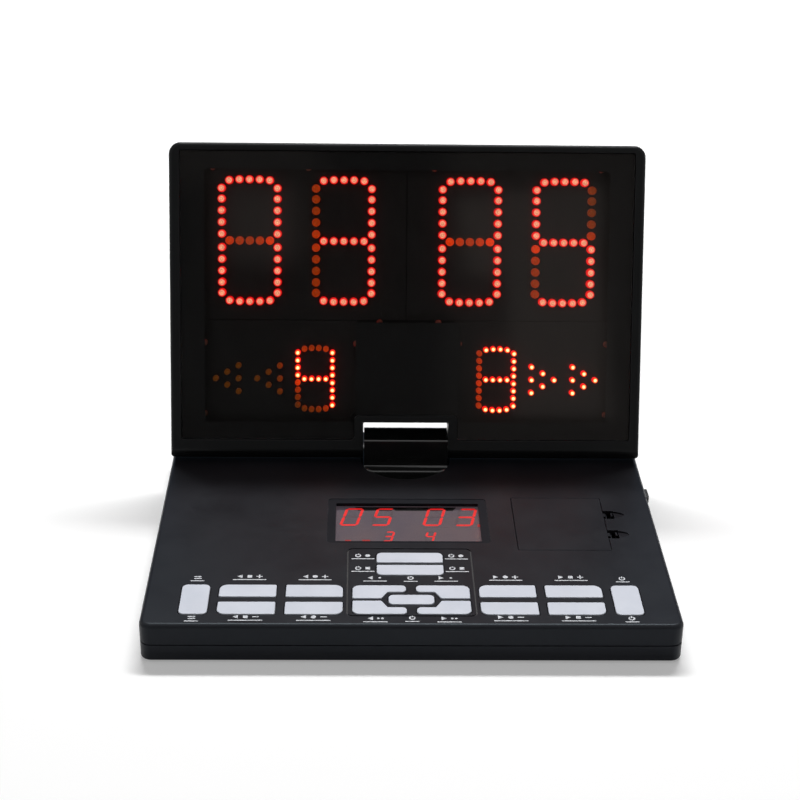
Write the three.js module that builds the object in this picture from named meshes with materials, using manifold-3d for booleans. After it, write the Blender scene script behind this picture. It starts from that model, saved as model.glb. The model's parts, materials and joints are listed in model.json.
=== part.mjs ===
// Electronic scoreboard: a flat base with a keypad, a small display and a battery door, and a
// lid with four large and two small digits of round lamps behind a window. The lid stands on a
// swivelling block behind the display, tilts on two pins and folds down over the keypad.
// Units are millimetres. X runs to the user's right, Y to the back and Z up from the table.
import * as THREE from 'three';
import { mergeVertices } from 'three/addons/utils/BufferGeometryUtils.js';
import Module from 'manifold-3d';

const wasm = await Module();
wasm.setup();

// Case, shared by the base and the lid
const caseWidth = 280;
const frontReach = 180; // tilt axis to the front edge, and to the lid's free edge
const rearReach = 35; // tilt axis to the base's rear edge
const standGap = 0.8; // table to the underside
const bottomShellHeight = 10.1;
const baseCorner = 6;
const topEdgeRound = 2.5;
const bottomEdgeRound = 1.2;
const wall = 2.2;
const skin = 2.2; // thickness of the base's deck
const floorThickness = 2;
const partingGroove = 0.8;
const partingGrooveDepth = 0.5;

// Battery compartment
const cellDiameter = 14.5;
const cellLength = 50.5;
const cellCount = 3;
const cellGap = 0.5;
const cellSideRoom = 1; // last cell to the tray's side
const cellHeadroom = 1.6;
const cellNubRadius = 2.75;
const cellNubLength = 1.5;
const cellEdge = 0.6;
const trayFloor = 1.6;
const trayWall = 1.8;
const trayRim = 2;
const rimOverlap = 2.4; // width of the rim that the door rests on
const rimLanding = 2.4; // width of the rim under the deck around the door
const ribWidth = 2;
const ribHeight = 2.5;
const doorThickness = 2.1;
const doorSeatGap = 0.1;
const doorGap = 0.25;
const doorCorner = 1;
const doorShift = 6.85; // door's middle from halfway between the recess and the case's side
const doorFrontMargin = 74.3; // door to the case's front edge
const contactThickness = 0.5;
const contactReach = 1.4;
const contactGap = 0.3;
const contactHeight = 12;
const contactTipRadius = 2;
const contactBaseRadius = 3.4;

// Door latches and the finger scoops beside them
const latchPlaceShares = [0.332, 0.705]; // down the door's right edge, from the back
const latchSlotLength = 9;
const latchSlotReach = 6.2;
const latchStemWidth = 2.6;
const latchBarWidth = 5;
const latchBar = 2;
const latchThickness = 1.4;
const latchGap = 0.5;
const scoopReach = 12;
const scoopDepth = 0.8;

// Heights of the base, from the table up
const baseHeight = floorThickness + trayFloor + cellDiameter + cellHeadroom + doorThickness;
const baseTop = standGap + baseHeight;
const partingHeight = standGap + bottomShellHeight;
const ceiling = baseTop - skin;
const floorTop = standGap + floorThickness;

// Feet and case screws
const footRadius = 6.5;
const footHeight = 1.8;
const footEdge = 0.5;
const footPocketGap = 0.3;
const footInset = 26;
const bossRadius = 3.5;
const screwInset = 12;
const screwHeadRadius = 3;
const screwHeadHeight = 2;
const screwRecess = 0.4;
const screwShankRadius = 1.2;
const screwTip = 0.8;
const shankRoom = 0.5; // screw hole in the half that the screw passes
const pilotRoom = 0.2; // screw hole in the half that the screw grips
const headRoom = 0.3;
const screwBite = 5; // how far the thread reaches into the upper boss

// Keys
const keyProud = 0.5;
const keyTravel = 0.8;
const keyGap = 0.3; // key to its hole
const keyFlange = 0.8;
const flangeThickness = 0.9;
const flangeDrop = 0.2; // flange to the deck's underside at rest
const padDrop = 0.3; // flange to the rubber pad when pressed
const keyCorner = 1;
const keySweep = 4.5; // large corner at one end of a side key
const rowMiddle = 23.9; // front edge to the middle of the lower key rows
const rowGap = 4.7;
const rowDepth = 11.6;
const columnGap = 4.95;
const sideMargin = 19.5; // outermost key to the case's side
const tallKeyWidth = 14.7;
const tallKeyDepth = 27.9;
const tallKeyCorner = 3;
const serveReach = 30.9; // middle line to the serve keys' outer end
const serveInner = 2.6;
const serveDepth = 12.5;
const serveRowGap = 2.2;
const serveCorner = 4;
const serveEndCorner = 2.5;
const notchRise = 7.2; // row middle to the serve keys' notch edge
const notchReach = 12.5;
const notchSlant = 3.2;
const centreKeyReach = 12;
const centreKeyDepth = 9;
const centreKeyCorner = 2.8;
const resetReach = 18;
const resetMiddle = 59.1; // front edge to the middle of the reset keys
const resetDepth = 10.05;
const resetGap = 2.4;
const resetCorner = 3;
const panelReach = 34; // the fine line round the middle keys
const panelBack = 75.4;
const panelFront = 8.7;
const panelCorner = 3.5;
const panelLine = 0.7;
const panelLineDepth = 0.25;

// Boards and mat inside the base
const matThickness = 0.9;
const padHeight = 1;
const padRadius = 3.4;
const boardThickness = 1.6;
const boardMargin = 1.5; // board beyond the outermost key
const boardFrontGap = 5;
const boardBackMargin = 2.6;
const postRadius = 3;
const postInset = 14;
const boardBossGap = 0.4;

// Operator display
const recessReach = 45.4;
const recessBack = 130.2; // front edge of the case to the recess's back
const recessFront = 81.2;
const recessCorner = 2.5;
const windowReach = 40.9;
const windowBackSlope = 4.7;
const windowFrontSlope = 2.3;
const recessDepth = 1.3;
const windowCorner = 0.6;
const windowFlange = 1.5;
const windowFlangeThickness = 1.2;
const windowFit = 0.15;
const windowStep = 0.1; // window face below the recess's floor
const moduleGap = 0.3;
const moduleHeight = 5.3;
const bigModuleWidth = 15.6;
const bigModuleDepth = 22.5;
const smallModuleWidth = 10;
const smallModuleDepth = 14;
const bigModuleShares = [-0.775, -0.342, 0.374, 0.817]; // of the window's half width
const smallModuleShares = [-0.267, 0.3];
const bigModuleRowShare = 0.735; // of the window's depth, from its front
const smallModuleRowShare = 0.24;
const operatorBoardMargin = 3;
const operatorPostInset = 4;

// Side switch and power inlet
const switchPlace = 34; // tilt axis to the middle of the switch cap, towards the front
const switchTravel = 4;
const switchCapLength = 9.6;
const switchCapHeight = 4;
const switchCapReach = 2.6;
const switchCapEdge = 0.6;
const switchCapDrop = 6.6; // deck to the middle of the cap
const switchStemLength = 4;
const switchStemHeight = 2.2;
const switchGap = 0.3;
const switchBodyDepth = 7;
const switchBodyHeight = 6.4;
const switchBodyMargin = 3;
const inletPlace = 90; // middle line to the inlet, towards the left
const inletRise = 6.6; // table to the inlet's axis
const inletRadius = 3.5;
const inletBore = 2.75;
const inletDepth = 9;
const inletPinRadius = 1;
const inletPinSink = 1; // rim to the pin's end
const inletGap = 0.2;
const inletBodyWidth = 9;
const inletBodyDepth = 4;
const inletBodyRise = 3.4;

// Swivel
const discRadius = 27;
const discThickness = 1.3;
const discGap = 0.3;
const discProud = 0.3;
const discEdge = 0.3;
const spindleRadius = 9;
const spindleBore = 6.5;
const bushGap = 0.15;
const bushWall = 1.75;
const bushFit = 0.1;
const collarWall = 2.5;
const collarHeight = 6.4;
const nutGap = 0.3;
const nutThickness = 2;
const nutReach = 4;
const nutFit = 0.1;
const spindleEnd = 0.5; // spindle below its nut

// Hinge block and pins
const blockReach = 25.2; // middle line to the block's end
const blockFront = 11.5; // tilt axis to the block's front face
const blockRear = 11;
const blockRearRound = 8;
const blockFrontRound = 0.6;
const padRise = 0.3; // the flat pad under the block
const padReach = 17.6; // tilt axis to the pad's straight edges
const padCorner = 3;
const skirtRise = 0.7;
const skirtReach = 3.7; // flare of the block's foot beyond its faces
const pinRadius = 2;
const pinInset = 8.2; // pin inside the block
const pinReach = 13; // pin beyond the block
const pinGap = 0.15;
const pinFit = 0.05;

// Lid
const lean = THREE.MathUtils.degToRad(19.25); // the open lid leans back from upright
const lidFrontDepth = 6.9; // tilt axis to the lid's face
const lidBackDepth = 10; // tilt axis to the lid's back
const closingGap = 0.9; // folded lid to the deck
const noseStart = 1; // along the lid, where the sloping back edge ends
const lidTopCorner = 7;
const lidBottomCorner = 3;
const frontEdgeRound = 1.5;
const backEdgeRound = 2;
const seamDepth = 2; // tilt axis to the seam between frame and rear cover
const turnedGap = 0.3; // between pieces that meet inside the tilted lid
const rearWall = 2;
const notchSideGap = 1;
const notchClearance = 0.46;
const notchCorner = 2;
const lidBossRadius = 4.6;
const lidBossGap = 0.3;
const lidBossReach = 11.8;

// Lid window
const windowBorder = 6.05;
const windowTopBorder = 4.2;
const windowFoot = 4.7; // tilt axis to the window's lower edge
const lidWindowCorner = 1.5;
const rimWidth = 4.4; // border beside the notch
const rimTop = 3.6; // border above the notch
const rimCorner = 2.2;
const plateThickness = 2;
const plateSink = 0.2;
const ledgeWidth = 2.5;
const ledgeThickness = 1.6;

// Lamp boards
const lampTip = 0.3; // lamp tips in front of the tilt axis's plane
const lampLength = 5.5;
const lampDome = 1.2;
const bigLampRadius = 2.5;
const smallLampRadius = 1.5;
const bigDigitShares = [0.6965, 0.28]; // of the window's half width, from the middle line
const smallDigitShare = 0.406;
const outerArrowShare = 0.799;
const innerArrowShare = 0.6144;
const bigRowShare = 0.69; // of the window's height, from its lower edge
const smallRowShare = 0.209;
const bigDigitReach = 16.5; // digit's middle to its side columns
const bigDigitRise = 36; // digit's middle to its top row
const bigRowLampShares = [-0.724, -0.362, 0, 0.362, 0.724]; // of the digit's half width
const bigColumnLampShares = [0.111, 0.303, 0.494, 0.683, 0.858]; // of its half height
const smallDigitReach = 10.35;
const smallDigitRise = 18.45;
const smallRowLampShares = [-0.618, -0.206, 0.206, 0.618];
const smallColumnLampShares = [0.125, 0.366, 0.607, 0.856];
const arrowColumnPitch = 6.8;
const arrowRowPitch = 7.8;
const boardEdge = 11; // lamps' middles to a board's edge
const boardSplit = 1; // half the gap between two boards
const driverReach = 25;
const lidPostRadius = 3;
const lidPostInset = 6;

// Lid screws
const lidScrewInset = 6.6;
const lidScrewFoot = 6;
const lidScrewTopInset = 12;
const lidBossWall = 3.4;
const lidScrewBite = 3.5;

// Smoothness and overrun of cuts
const cornerSteps = 2;
const keySteps = 1;
const edgeSteps = 3;
const roundSides = 32;
const boreSides = 12;
const bossSides = 8;
const ringSides = 24;
const screwSides = 6;
const lampSides = 5;
const noseSteps = 3;
const overrun = 1;

// Axes and places worked out from the sizes above
const caseReach = caseWidth / 2;
const axisRise = lidFrontDepth + closingGap;
const axisHeight = baseTop + axisRise;
const blockRise = lidBackDepth;
const notchReachX = blockReach + notchSideGap;
const notchTop = Math.hypot(blockFront, blockRise) + notchClearance;
const lampFace = lampTip - lampLength; // front face of the lamp boards
const boardBackFace = lampFace - boardThickness;
const trayInnerWidth = cellCount * cellDiameter + (cellCount - 1) * cellGap + 2 * cellSideRoom;
const trayInnerDepth = cellLength + 2 * (contactThickness + contactReach + contactGap);
const doorWidth = trayInnerWidth + 2 * rimOverlap;
const doorDepth = trayInnerDepth + rimOverlap;
const doorMiddleX = (recessReach + caseReach) / 2 - doorShift;
const doorRight = doorMiddleX + doorWidth / 2;
const doorMiddleY = -frontReach + doorFrontMargin + doorDepth / 2;
const keyTop = baseTop + keyProud;
const flangeTop = ceiling - flangeDrop;
const flangeBottom = flangeTop - flangeThickness;
const matTop = flangeBottom - keyTravel - padDrop;
const boardTop = matTop - padHeight - matThickness;

// Booleans between closed geometries
function toSolid(geometry) {
  const bare = geometry.clone();
  bare.deleteAttribute('normal');
  bare.deleteAttribute('uv');
  const merged = mergeVertices(bare);
  const corners = merged.index.array;
  const kept = [];
  for (let i = 0; i < corners.length; i += 3) {
    const [a, b, c] = corners.slice(i, i + 3);
    if (a !== b && b !== c && c !== a) kept.push(a, b, c);
  }
  return new wasm.Manifold(new wasm.Mesh({
    numProp: 3,
    vertProperties: merged.attributes.position.array,
    triVerts: Uint32Array.from(kept),
  }));
}

function toGeometry(solid) {
  const { vertProperties, triVerts } = solid.getMesh();
  const indexed = new THREE.BufferGeometry();
  indexed.setAttribute('position', new THREE.Float32BufferAttribute(vertProperties, 3));
  indexed.setIndex(new THREE.BufferAttribute(triVerts, 1));
  const geometry = indexed.toNonIndexed();
  geometry.computeVertexNormals();
  return geometry;
}

function join(...geometries) {
  return toGeometry(geometries.map(toSolid).reduce((whole, next) => whole.add(next)));
}

function cut(geometry, ...tools) {
  return toGeometry(tools.map(toSolid).reduce((rest, tool) => rest.subtract(tool), toSolid(geometry)));
}

function common(first, second) {
  return toGeometry(toSolid(first).intersect(toSolid(second)));
}

// Outlines: corners are [x, y, radius] in counterclockwise order
function rectangle(left, front, right, back, radii = [0, 0, 0, 0]) {
  const [frontLeft, frontRight, backRight, backLeft] = Array.isArray(radii) ? radii : Array(4).fill(radii);
  return [
    [left, front, frontLeft],
    [right, front, frontRight],
    [right, back, backRight],
    [left, back, backLeft],
  ];
}

function mirrored(corners) {
  return corners.map(([x, y, radius]) => [-x, y, radius]).reverse();
}

// A closed shape through the corners, each edge moved outward by grow.
function outline(corners, grow = 0) {
  const shape = new THREE.Shape();
  corners.forEach(([x, y, radius], index) => {
    const corner = new THREE.Vector2(x, y);
    const before = new THREE.Vector2(...corners.at(index - 1).slice(0, 2));
    const after = new THREE.Vector2(...corners[(index + 1) % corners.length].slice(0, 2));
    const arriving = corner.clone().sub(before).normalize();
    const leaving = after.sub(corner).normalize();
    const turn = Math.atan2(arriving.cross(leaving), arriving.dot(leaving));
    const outward = new THREE.Vector2(arriving.y + leaving.y, -arriving.x - leaving.x);
    corner.addScaledVector(outward, grow / (1 + arriving.dot(leaving)));
    const bend = radius > 0 ? Math.max(radius + Math.sign(turn) * grow, 0) : 0;
    if (bend === 0) {
      if (index === 0) shape.moveTo(corner.x, corner.y);
      else shape.lineTo(corner.x, corner.y);
      return;
    }
    const start = corner.clone().addScaledVector(arriving, -bend * Math.tan(Math.abs(turn) / 2));
    const inward = new THREE.Vector2(-arriving.y, arriving.x).multiplyScalar(Math.sign(turn) * bend);
    const centre = start.clone().add(inward);
    const from = Math.atan2(start.y - centre.y, start.x - centre.x);
    shape.absarc(centre.x, centre.y, bend, from, from + turn, turn < 0);
  });
  return shape;
}

// Solids from outlines
function prism(shape, low, high, steps = cornerSteps) {
  const settings = { depth: high - low, bevelEnabled: false, curveSegments: steps };
  return new THREE.ExtrudeGeometry(shape, settings).translate(0, 0, low);
}

// A closed solid through shapes of equal point counts, each given with its height, from the lowest up.
function loft(layers, steps = cornerSteps) {
  const rings = layers.map(([shape]) => shape.getPoints(steps));
  const count = rings[0].length;
  const positions = rings.flatMap((ring, layer) => ring.flatMap(({ x, y }) => [x, y, layers[layer][1]]));
  const triangles = [];
  for (let layer = 0; layer + 1 < rings.length; layer += 1) {
    for (let i = 0; i < count; i += 1) {
      const a = layer * count + i;
      const b = layer * count + ((i + 1) % count);
      triangles.push(a, b, b + count, a, b + count, a + count);
    }
  }
  const topStart = (rings.length - 1) * count;
  for (const [a, b, c] of THREE.ShapeUtils.triangulateShape(rings[0], [])) triangles.push(c, b, a);
  for (const [a, b, c] of THREE.ShapeUtils.triangulateShape(rings.at(-1), [])) {
    triangles.push(topStart + a, topStart + b, topStart + c);
  }
  const geometry = new THREE.BufferGeometry();
  geometry.setAttribute('position', new THREE.Float32BufferAttribute(positions, 3));
  geometry.setIndex(triangles);
  geometry.computeVertexNormals();
  return geometry;
}

// Layers of a case half, square at its seam and rounded towards its face.
function roundedLayers(corners, seam, face, radius) {
  const direction = Math.sign(face - seam);
  const layers = [[outline(corners), seam]];
  for (let step = 0; step <= edgeSteps; step += 1) {
    const angle = (step / edgeSteps) * (Math.PI / 2);
    const height = face - direction * radius * (1 - Math.sin(angle));
    layers.push([outline(corners, -radius * (1 - Math.cos(angle))), height]);
  }
  return direction > 0 ? layers : layers.reverse();
}

// A turned solid about Z from [radius, height] points, the outer side going up.
function turned(profile, sides = boreSides) {
  const points = profile.map(([radius, height]) => new THREE.Vector2(radius, height));
  return new THREE.LatheGeometry(points, sides).rotateX(Math.PI / 2);
}

function cylinder(radius, low, high, sides = boreSides) {
  return turned([[0, low], [radius, low], [radius, high], [0, high]], sides);
}

function ring(inner, outer, low, high, sides = ringSides) {
  return turned([[inner, low], [outer, low], [outer, high], [inner, high], [inner, low]], sides);
}

function box(left, front, low, right, back, high) {
  return new THREE.BoxGeometry(right - left, back - front, high - low)
    .translate((left + right) / 2, (front + back) / 2, (low + high) / 2);
}

// Turns a solid drawn along Z so that its section lies in YZ and its length along X.
function alongX(geometry) {
  const [x, y, z] = [new THREE.Vector3(1, 0, 0), new THREE.Vector3(0, 1, 0), new THREE.Vector3(0, 0, 1)];
  return geometry.applyMatrix4(new THREE.Matrix4().makeBasis(y, z, x));
}

// Materials
const finishes = {
  case_black: { color: 0x2b2e34, roughness: 0.5, metalness: 0 },
  hinge_black: { color: 0x0b0b0c, roughness: 0.22, metalness: 0 },
  key_grey: { color: 0xdadde2, roughness: 0.55, metalness: 0 },
  window_smoke: { color: 0x140f10, roughness: 0.08, metalness: 0 },
  lamp_board: { color: 0x16181a, roughness: 0.6, metalness: 0 },
  circuit_board: { color: 0x1f4a2c, roughness: 0.6, metalness: 0 },
  rubber_dark: { color: 0x1a1a1b, roughness: 0.85, metalness: 0 },
  rubber_mat: { color: 0x9aa0a4, roughness: 0.8, metalness: 0 },
  steel_plated: { color: 0xb5b8bb, roughness: 0.3, metalness: 0.9 },
  cell_wrap: { color: 0x3c5a8a, roughness: 0.35, metalness: 0 },
  plastic_white: { color: 0xcfcfcb, roughness: 0.5, metalness: 0 },
};

const model = new THREE.Group();
const base = new THREE.Group();
const lid = new THREE.Group();
model.add(base, lid);

function addPiece(group, name, geometry, finish) {
  const material = new THREE.MeshStandardMaterial(finishes[finish]);
  const mesh = new THREE.Mesh(toGeometry(toSolid(geometry)), material);
  mesh.name = name;
  group.add(mesh);
}

// Case outlines and repeated places
const baseCorners = rectangle(-caseReach, -frontReach, caseReach, rearReach, baseCorner);

function cornerPlaces(inset) {
  const across = caseReach - inset;
  return [
    ['front_left', -across, -frontReach + inset],
    ['front_right', across, -frontReach + inset],
    ['rear_left', -across, rearReach - inset],
    ['rear_right', across, rearReach - inset],
  ];
}

// Key outlines, worked out from the middle line and the row's middle
function sideKeys() {
  const tallOuter = caseReach - sideMargin;
  const tallInner = tallOuter - tallKeyWidth;
  const sideKeyWidth = (tallInner - serveReach - 3 * columnGap) / 2;
  const pointInner = serveReach + columnGap;
  const gameInner = pointInner + sideKeyWidth + columnGap;
  const middle = -frontReach + rowMiddle;
  const upper = [middle + rowGap / 2, middle + rowGap / 2 + rowDepth];
  const lower = [middle - rowGap / 2 - rowDepth, middle - rowGap / 2];
  const tall = [middle - tallKeyDepth / 2, middle + tallKeyDepth / 2];
  const c = keyCorner;
  const columns = {
    point_up: rectangle(pointInner, upper[0], pointInner + sideKeyWidth, upper[1], [c, c, c, keySweep]),
    point_down: rectangle(pointInner, lower[0], pointInner + sideKeyWidth, lower[1], [keySweep, c, c, c]),
    game_up: rectangle(gameInner, upper[0], gameInner + sideKeyWidth, upper[1], [c, c, keySweep, c]),
    game_down: rectangle(gameInner, lower[0], gameInner + sideKeyWidth, lower[1], [c, keySweep, c, c]),
  };
  const keys = {
    key_change: mirrored(rectangle(tallInner, tall[0], tallOuter, tall[1], tallKeyCorner)),
    key_power: rectangle(tallInner, tall[0], tallOuter, tall[1], tallKeyCorner),
  };
  for (const [name, corners] of Object.entries(columns)) {
    keys[`key_left_${name}`] = mirrored(corners);
    keys[`key_right_${name}`] = corners;
  }
  return keys;
}

function serveKeys() {
  const middle = -frontReach + rowMiddle;
  const inside = serveRowGap / 2;
  const keys = {
    key_serve_reset: rectangle(
      -centreKeyReach, middle - centreKeyDepth / 2,
      centreKeyReach, middle + centreKeyDepth / 2, centreKeyCorner),
  };
  const upper = [
    [serveInner, middle + notchRise, serveEndCorner],
    [notchReach, middle + notchRise, keyCorner],
    [notchReach + notchSlant, middle + inside, keyCorner],
    [serveReach, middle + inside, keyCorner],
    [serveReach, middle + inside + serveDepth, serveCorner],
    [serveInner, middle + inside + serveDepth, serveEndCorner],
  ];
  const lower = upper.map(([x, y, radius]) => [x, 2 * middle - y, radius]).reverse();
  keys.key_serve_left_first = mirrored(upper);
  keys.key_serve_left_second = mirrored(lower);
  keys.key_serve_right_first = upper;
  keys.key_serve_right_second = lower;
  return keys;
}

function resetKeys() {
  const middle = -frontReach + resetMiddle;
  const near = resetGap / 2;
  const c = keyCorner;
  return {
    key_reset_points: rectangle(
      -resetReach, middle + near, resetReach, middle + near + resetDepth, [c, c, resetCorner, resetCorner]),
    key_reset_games: rectangle(
      -resetReach, middle - near - resetDepth, resetReach, middle - near, [resetCorner, resetCorner, c, c]),
  };
}

const keys = { ...resetKeys(), ...serveKeys(), ...sideKeys() };

function middleOf(corners) {
  const bounds = new THREE.Box2().setFromPoints(corners.map(([x, y]) => new THREE.Vector2(x, y)));
  return bounds.getCenter(new THREE.Vector2());
}

// Operator display outlines
const recessCorners = rectangle(
  -recessReach, -frontReach + recessFront, recessReach, -frontReach + recessBack, recessCorner);
const windowCorners = rectangle(
  -windowReach, -frontReach + recessFront + windowFrontSlope,
  windowReach, -frontReach + recessBack - windowBackSlope, windowCorner);

// Battery compartment outlines and the latches' middles
const doorCorners = rectangle(
  doorMiddleX - doorWidth / 2, doorMiddleY - doorDepth / 2,
  doorMiddleX + doorWidth / 2, doorMiddleY + doorDepth / 2, doorCorner);
const trayInner = rectangle(
  doorMiddleX - trayInnerWidth / 2, doorMiddleY - trayInnerDepth / 2,
  doorMiddleX + trayInnerWidth / 2, doorMiddleY + trayInnerDepth / 2, doorCorner);
const latchPlaces = latchPlaceShares.map((share) => doorMiddleY + doorDepth / 2 - share * doorDepth);

// Switch slot: the stem at rest and the room for its travel
const switchMiddleZ = baseTop - switchCapDrop;
const stemFront = -switchPlace - switchStemLength / 2;
const stemBack = -switchPlace + switchStemLength / 2;

// Base shells
function keyHoles() {
  return Object.values(keys).map((corners) =>
    prism(outline(corners, keyGap), ceiling - overrun, baseTop + overrun, keySteps));
}

function displayCuts() {
  const slope = loft([
    [outline(windowCorners), baseTop - recessDepth],
    [outline(recessCorners), baseTop],
    [outline(recessCorners), baseTop + overrun],
  ], keySteps);
  const opening = prism(outline(windowCorners), ceiling - overrun, baseTop, keySteps);
  return [slope, opening];
}

function panelLineRing() {
  const corners = rectangle(
    -panelReach, -frontReach + panelFront, panelReach, -frontReach + panelBack, panelCorner);
  const low = baseTop - panelLineDepth;
  return cut(
    prism(outline(corners), low, baseTop + overrun),
    prism(outline(corners, -panelLine), low - overrun, baseTop + 2 * overrun));
}

function latchCuts() {
  return latchPlaces.flatMap((middle) => {
    const slot = box(
      doorRight - doorCorner, middle - latchSlotLength / 2, ceiling - overrun,
      doorRight + latchSlotReach, middle + latchSlotLength / 2, baseTop + overrun);
    const oval = new THREE.Shape();
    oval.absellipse(doorRight, middle, scoopReach, latchSlotLength / 2, -Math.PI / 2, Math.PI / 2, false, 0);
    return [slot, prism(oval, baseTop - scoopDepth, baseTop + overrun, 2 * cornerSteps)];
  });
}

function switchSlot() {
  return box(
    caseReach - wall - overrun, stemFront - switchGap, switchMiddleZ - switchStemHeight / 2 - switchGap,
    caseReach + overrun, stemBack + switchTravel + switchGap,
    switchMiddleZ + switchStemHeight / 2 + switchGap);
}

function baseTopShell() {
  const outer = loft(roundedLayers(baseCorners, partingHeight, baseTop, topEdgeRound));
  const hollow = prism(outline(baseCorners, -wall), partingHeight - overrun, ceiling);
  const bosses = cornerPlaces(screwInset).map(([, x, y]) =>
    cylinder(bossRadius, partingHeight, ceiling + skin / 2, bossSides).translate(x, y, 0));
  const pilotTop = partingHeight + screwBite + screwTip;
  const pilot = cylinder(screwShankRadius + pilotRoom, partingHeight - overrun, pilotTop, screwSides);
  const pilots = cornerPlaces(screwInset).map(([, x, y]) => pilot.clone().translate(x, y, 0));
  const collarBore = spindleRadius + bushGap + bushWall + bushFit;
  const collar = cylinder(collarBore + collarWall, ceiling - collarHeight, ceiling + skin / 2, ringSides);
  const collarHole = cylinder(collarBore, ceiling - collarHeight - overrun, baseTop + overrun, ringSides);
  const discRecess = cylinder(
    discRadius + discGap, baseTop + discProud - discThickness - discGap, baseTop + overrun, roundSides);
  const doorOpening = prism(outline(doorCorners, doorGap), ceiling - overrun, baseTop + overrun, keySteps);
  const hollowed = join(cut(outer, hollow), collar, ...bosses);
  return cut(
    hollowed, ...pilots, collarHole, discRecess, doorOpening, ...latchCuts(), ...keyHoles(),
    ...displayCuts(), panelLineRing(), switchSlot());
}

function baseBottomShell() {
  const grooveLow = partingHeight - partingGroove;
  const outer = loft([
    ...roundedLayers(baseCorners, grooveLow, standGap, bottomEdgeRound),
    [outline(baseCorners, -partingGrooveDepth), grooveLow],
    [outline(baseCorners, -partingGrooveDepth), partingHeight],
  ]);
  const hollow = prism(outline(baseCorners, -wall), floorTop, partingHeight + overrun);
  const bosses = cornerPlaces(screwInset).map(([, x, y]) =>
    cylinder(bossRadius, floorTop - floorThickness / 2, partingHeight, bossSides).translate(x, y, 0));
  const seat = standGap + screwRecess + screwHeadHeight;
  const screwHoles = cornerPlaces(screwInset).flatMap(([, x, y]) => [
    cylinder(screwHeadRadius + headRoom, standGap - overrun, seat).translate(x, y, 0),
    cylinder(screwShankRadius + shankRoom, standGap, partingHeight + overrun, screwSides).translate(x, y, 0),
  ]);
  const pockets = cornerPlaces(footInset).map(([, x, y]) =>
    cylinder(footRadius + footPocketGap, standGap - overrun, footHeight).translate(x, y, 0));
  const posts = [...mainBoardPosts(), ...operatorPosts()];
  const inletHole = cylinder(inletRadius + inletGap, -wall - overrun, overrun)
    .rotateX(Math.PI / 2).translate(-inletPlace, rearReach - wall, inletRise);
  return cut(join(cut(outer, hollow), ...bosses, ...posts), ...screwHoles, ...pockets, inletHole);
}

// Boards, mat and modules inside the base
const boardReach = caseReach - sideMargin + boardMargin;
const boardFront = -frontReach + boardFrontGap;
const boardBack = -frontReach + resetMiddle + resetGap / 2 + resetDepth + boardBackMargin;
const operatorBoardTop = ceiling - windowFlangeThickness - moduleGap - moduleHeight;
const operatorCorners = rectangle(...outerBox(windowCorners, operatorBoardMargin), 0);

function outerBox(corners, grow) {
  const [left, front] = corners[0];
  const [right, back] = corners[2];
  return [left - grow, front - grow, right + grow, back + grow];
}

function mainBoardPosts() {
  const across = [-boardReach + postInset, 0, boardReach - postInset];
  const along = [boardFront + postInset / 2, boardBack - postInset / 2];
  const foot = floorTop - floorThickness / 2;
  return across.flatMap((x) => along.map((y) =>
    cylinder(postRadius, foot, boardTop - boardThickness, screwSides).translate(x, y, 0)));
}

function operatorPosts() {
  const [left, front, right, back] = outerBox(operatorCorners, -operatorPostInset);
  const places = [[left, front], [right, front], [right, back], [left, back]];
  return places.map(([x, y]) =>
    cylinder(postRadius, floorTop - floorThickness / 2, operatorBoardTop - boardThickness, screwSides)
      .translate(x, y, 0));
}

function mainBoard() {
  const plate = box(-boardReach, boardFront, boardTop - boardThickness, boardReach, boardBack, boardTop);
  const notches = cornerPlaces(screwInset).map(([, x, y]) =>
    cylinder(bossRadius + boardBossGap, boardTop - boardThickness - overrun, boardTop + overrun, bossSides)
      .translate(x, y, 0));
  return cut(plate, ...notches);
}

function keyMat() {
  const sheetTop = boardTop + matThickness;
  const sheet = box(
    -boardReach + matThickness, boardFront + matThickness, boardTop,
    boardReach - matThickness, boardBack - matThickness, sheetTop);
  const pads = Object.values(keys).map((corners) => {
    const { x, y } = middleOf(corners);
    return cylinder(padRadius, boardTop + matThickness / 2, matTop, screwSides).translate(x, y, 0);
  });
  const notch = cylinder(bossRadius + boardBossGap, boardTop - overrun, sheetTop + overrun, bossSides);
  const notches = cornerPlaces(screwInset).map(([, x, y]) => notch.clone().translate(x, y, 0));
  return cut(join(sheet, ...pads), ...notches);
}

function operatorBoard() {
  const [left, front, right, back] = outerBox(operatorCorners, 0);
  const plate = box(left, front, operatorBoardTop - boardThickness, right, back, operatorBoardTop);
  const windowFront = windowCorners[0][1];
  const windowDepth = windowCorners[2][1] - windowFront;
  const modules = [
    ...bigModuleShares.map((share) => [share, bigModuleRowShare, bigModuleWidth, bigModuleDepth]),
    ...smallModuleShares.map((share) => [share, smallModuleRowShare, smallModuleWidth, smallModuleDepth]),
  ].map(([share, row, width, depth]) => {
    const x = share * windowReach;
    const y = windowFront + row * windowDepth;
    return box(
      x - width / 2, y - depth / 2, operatorBoardTop - boardThickness / 2,
      x + width / 2, y + depth / 2, operatorBoardTop + moduleHeight);
  });
  return join(plate, ...modules);
}

function operatorWindow() {
  const flange = outline(windowCorners, windowFlange);
  const plate = outline(windowCorners, -windowFit);
  return loft([
    [flange, ceiling - windowFlangeThickness],
    [flange, ceiling],
    [plate, ceiling],
    [plate, baseTop - recessDepth - windowStep],
  ], keySteps);
}

// Keys
function keyCap(corners) {
  const flange = outline(corners, keyFlange);
  return loft([
    [flange, flangeBottom],
    [flange, flangeTop],
    [outline(corners), flangeTop],
    [outline(corners), keyTop],
  ], keySteps);
}

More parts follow.
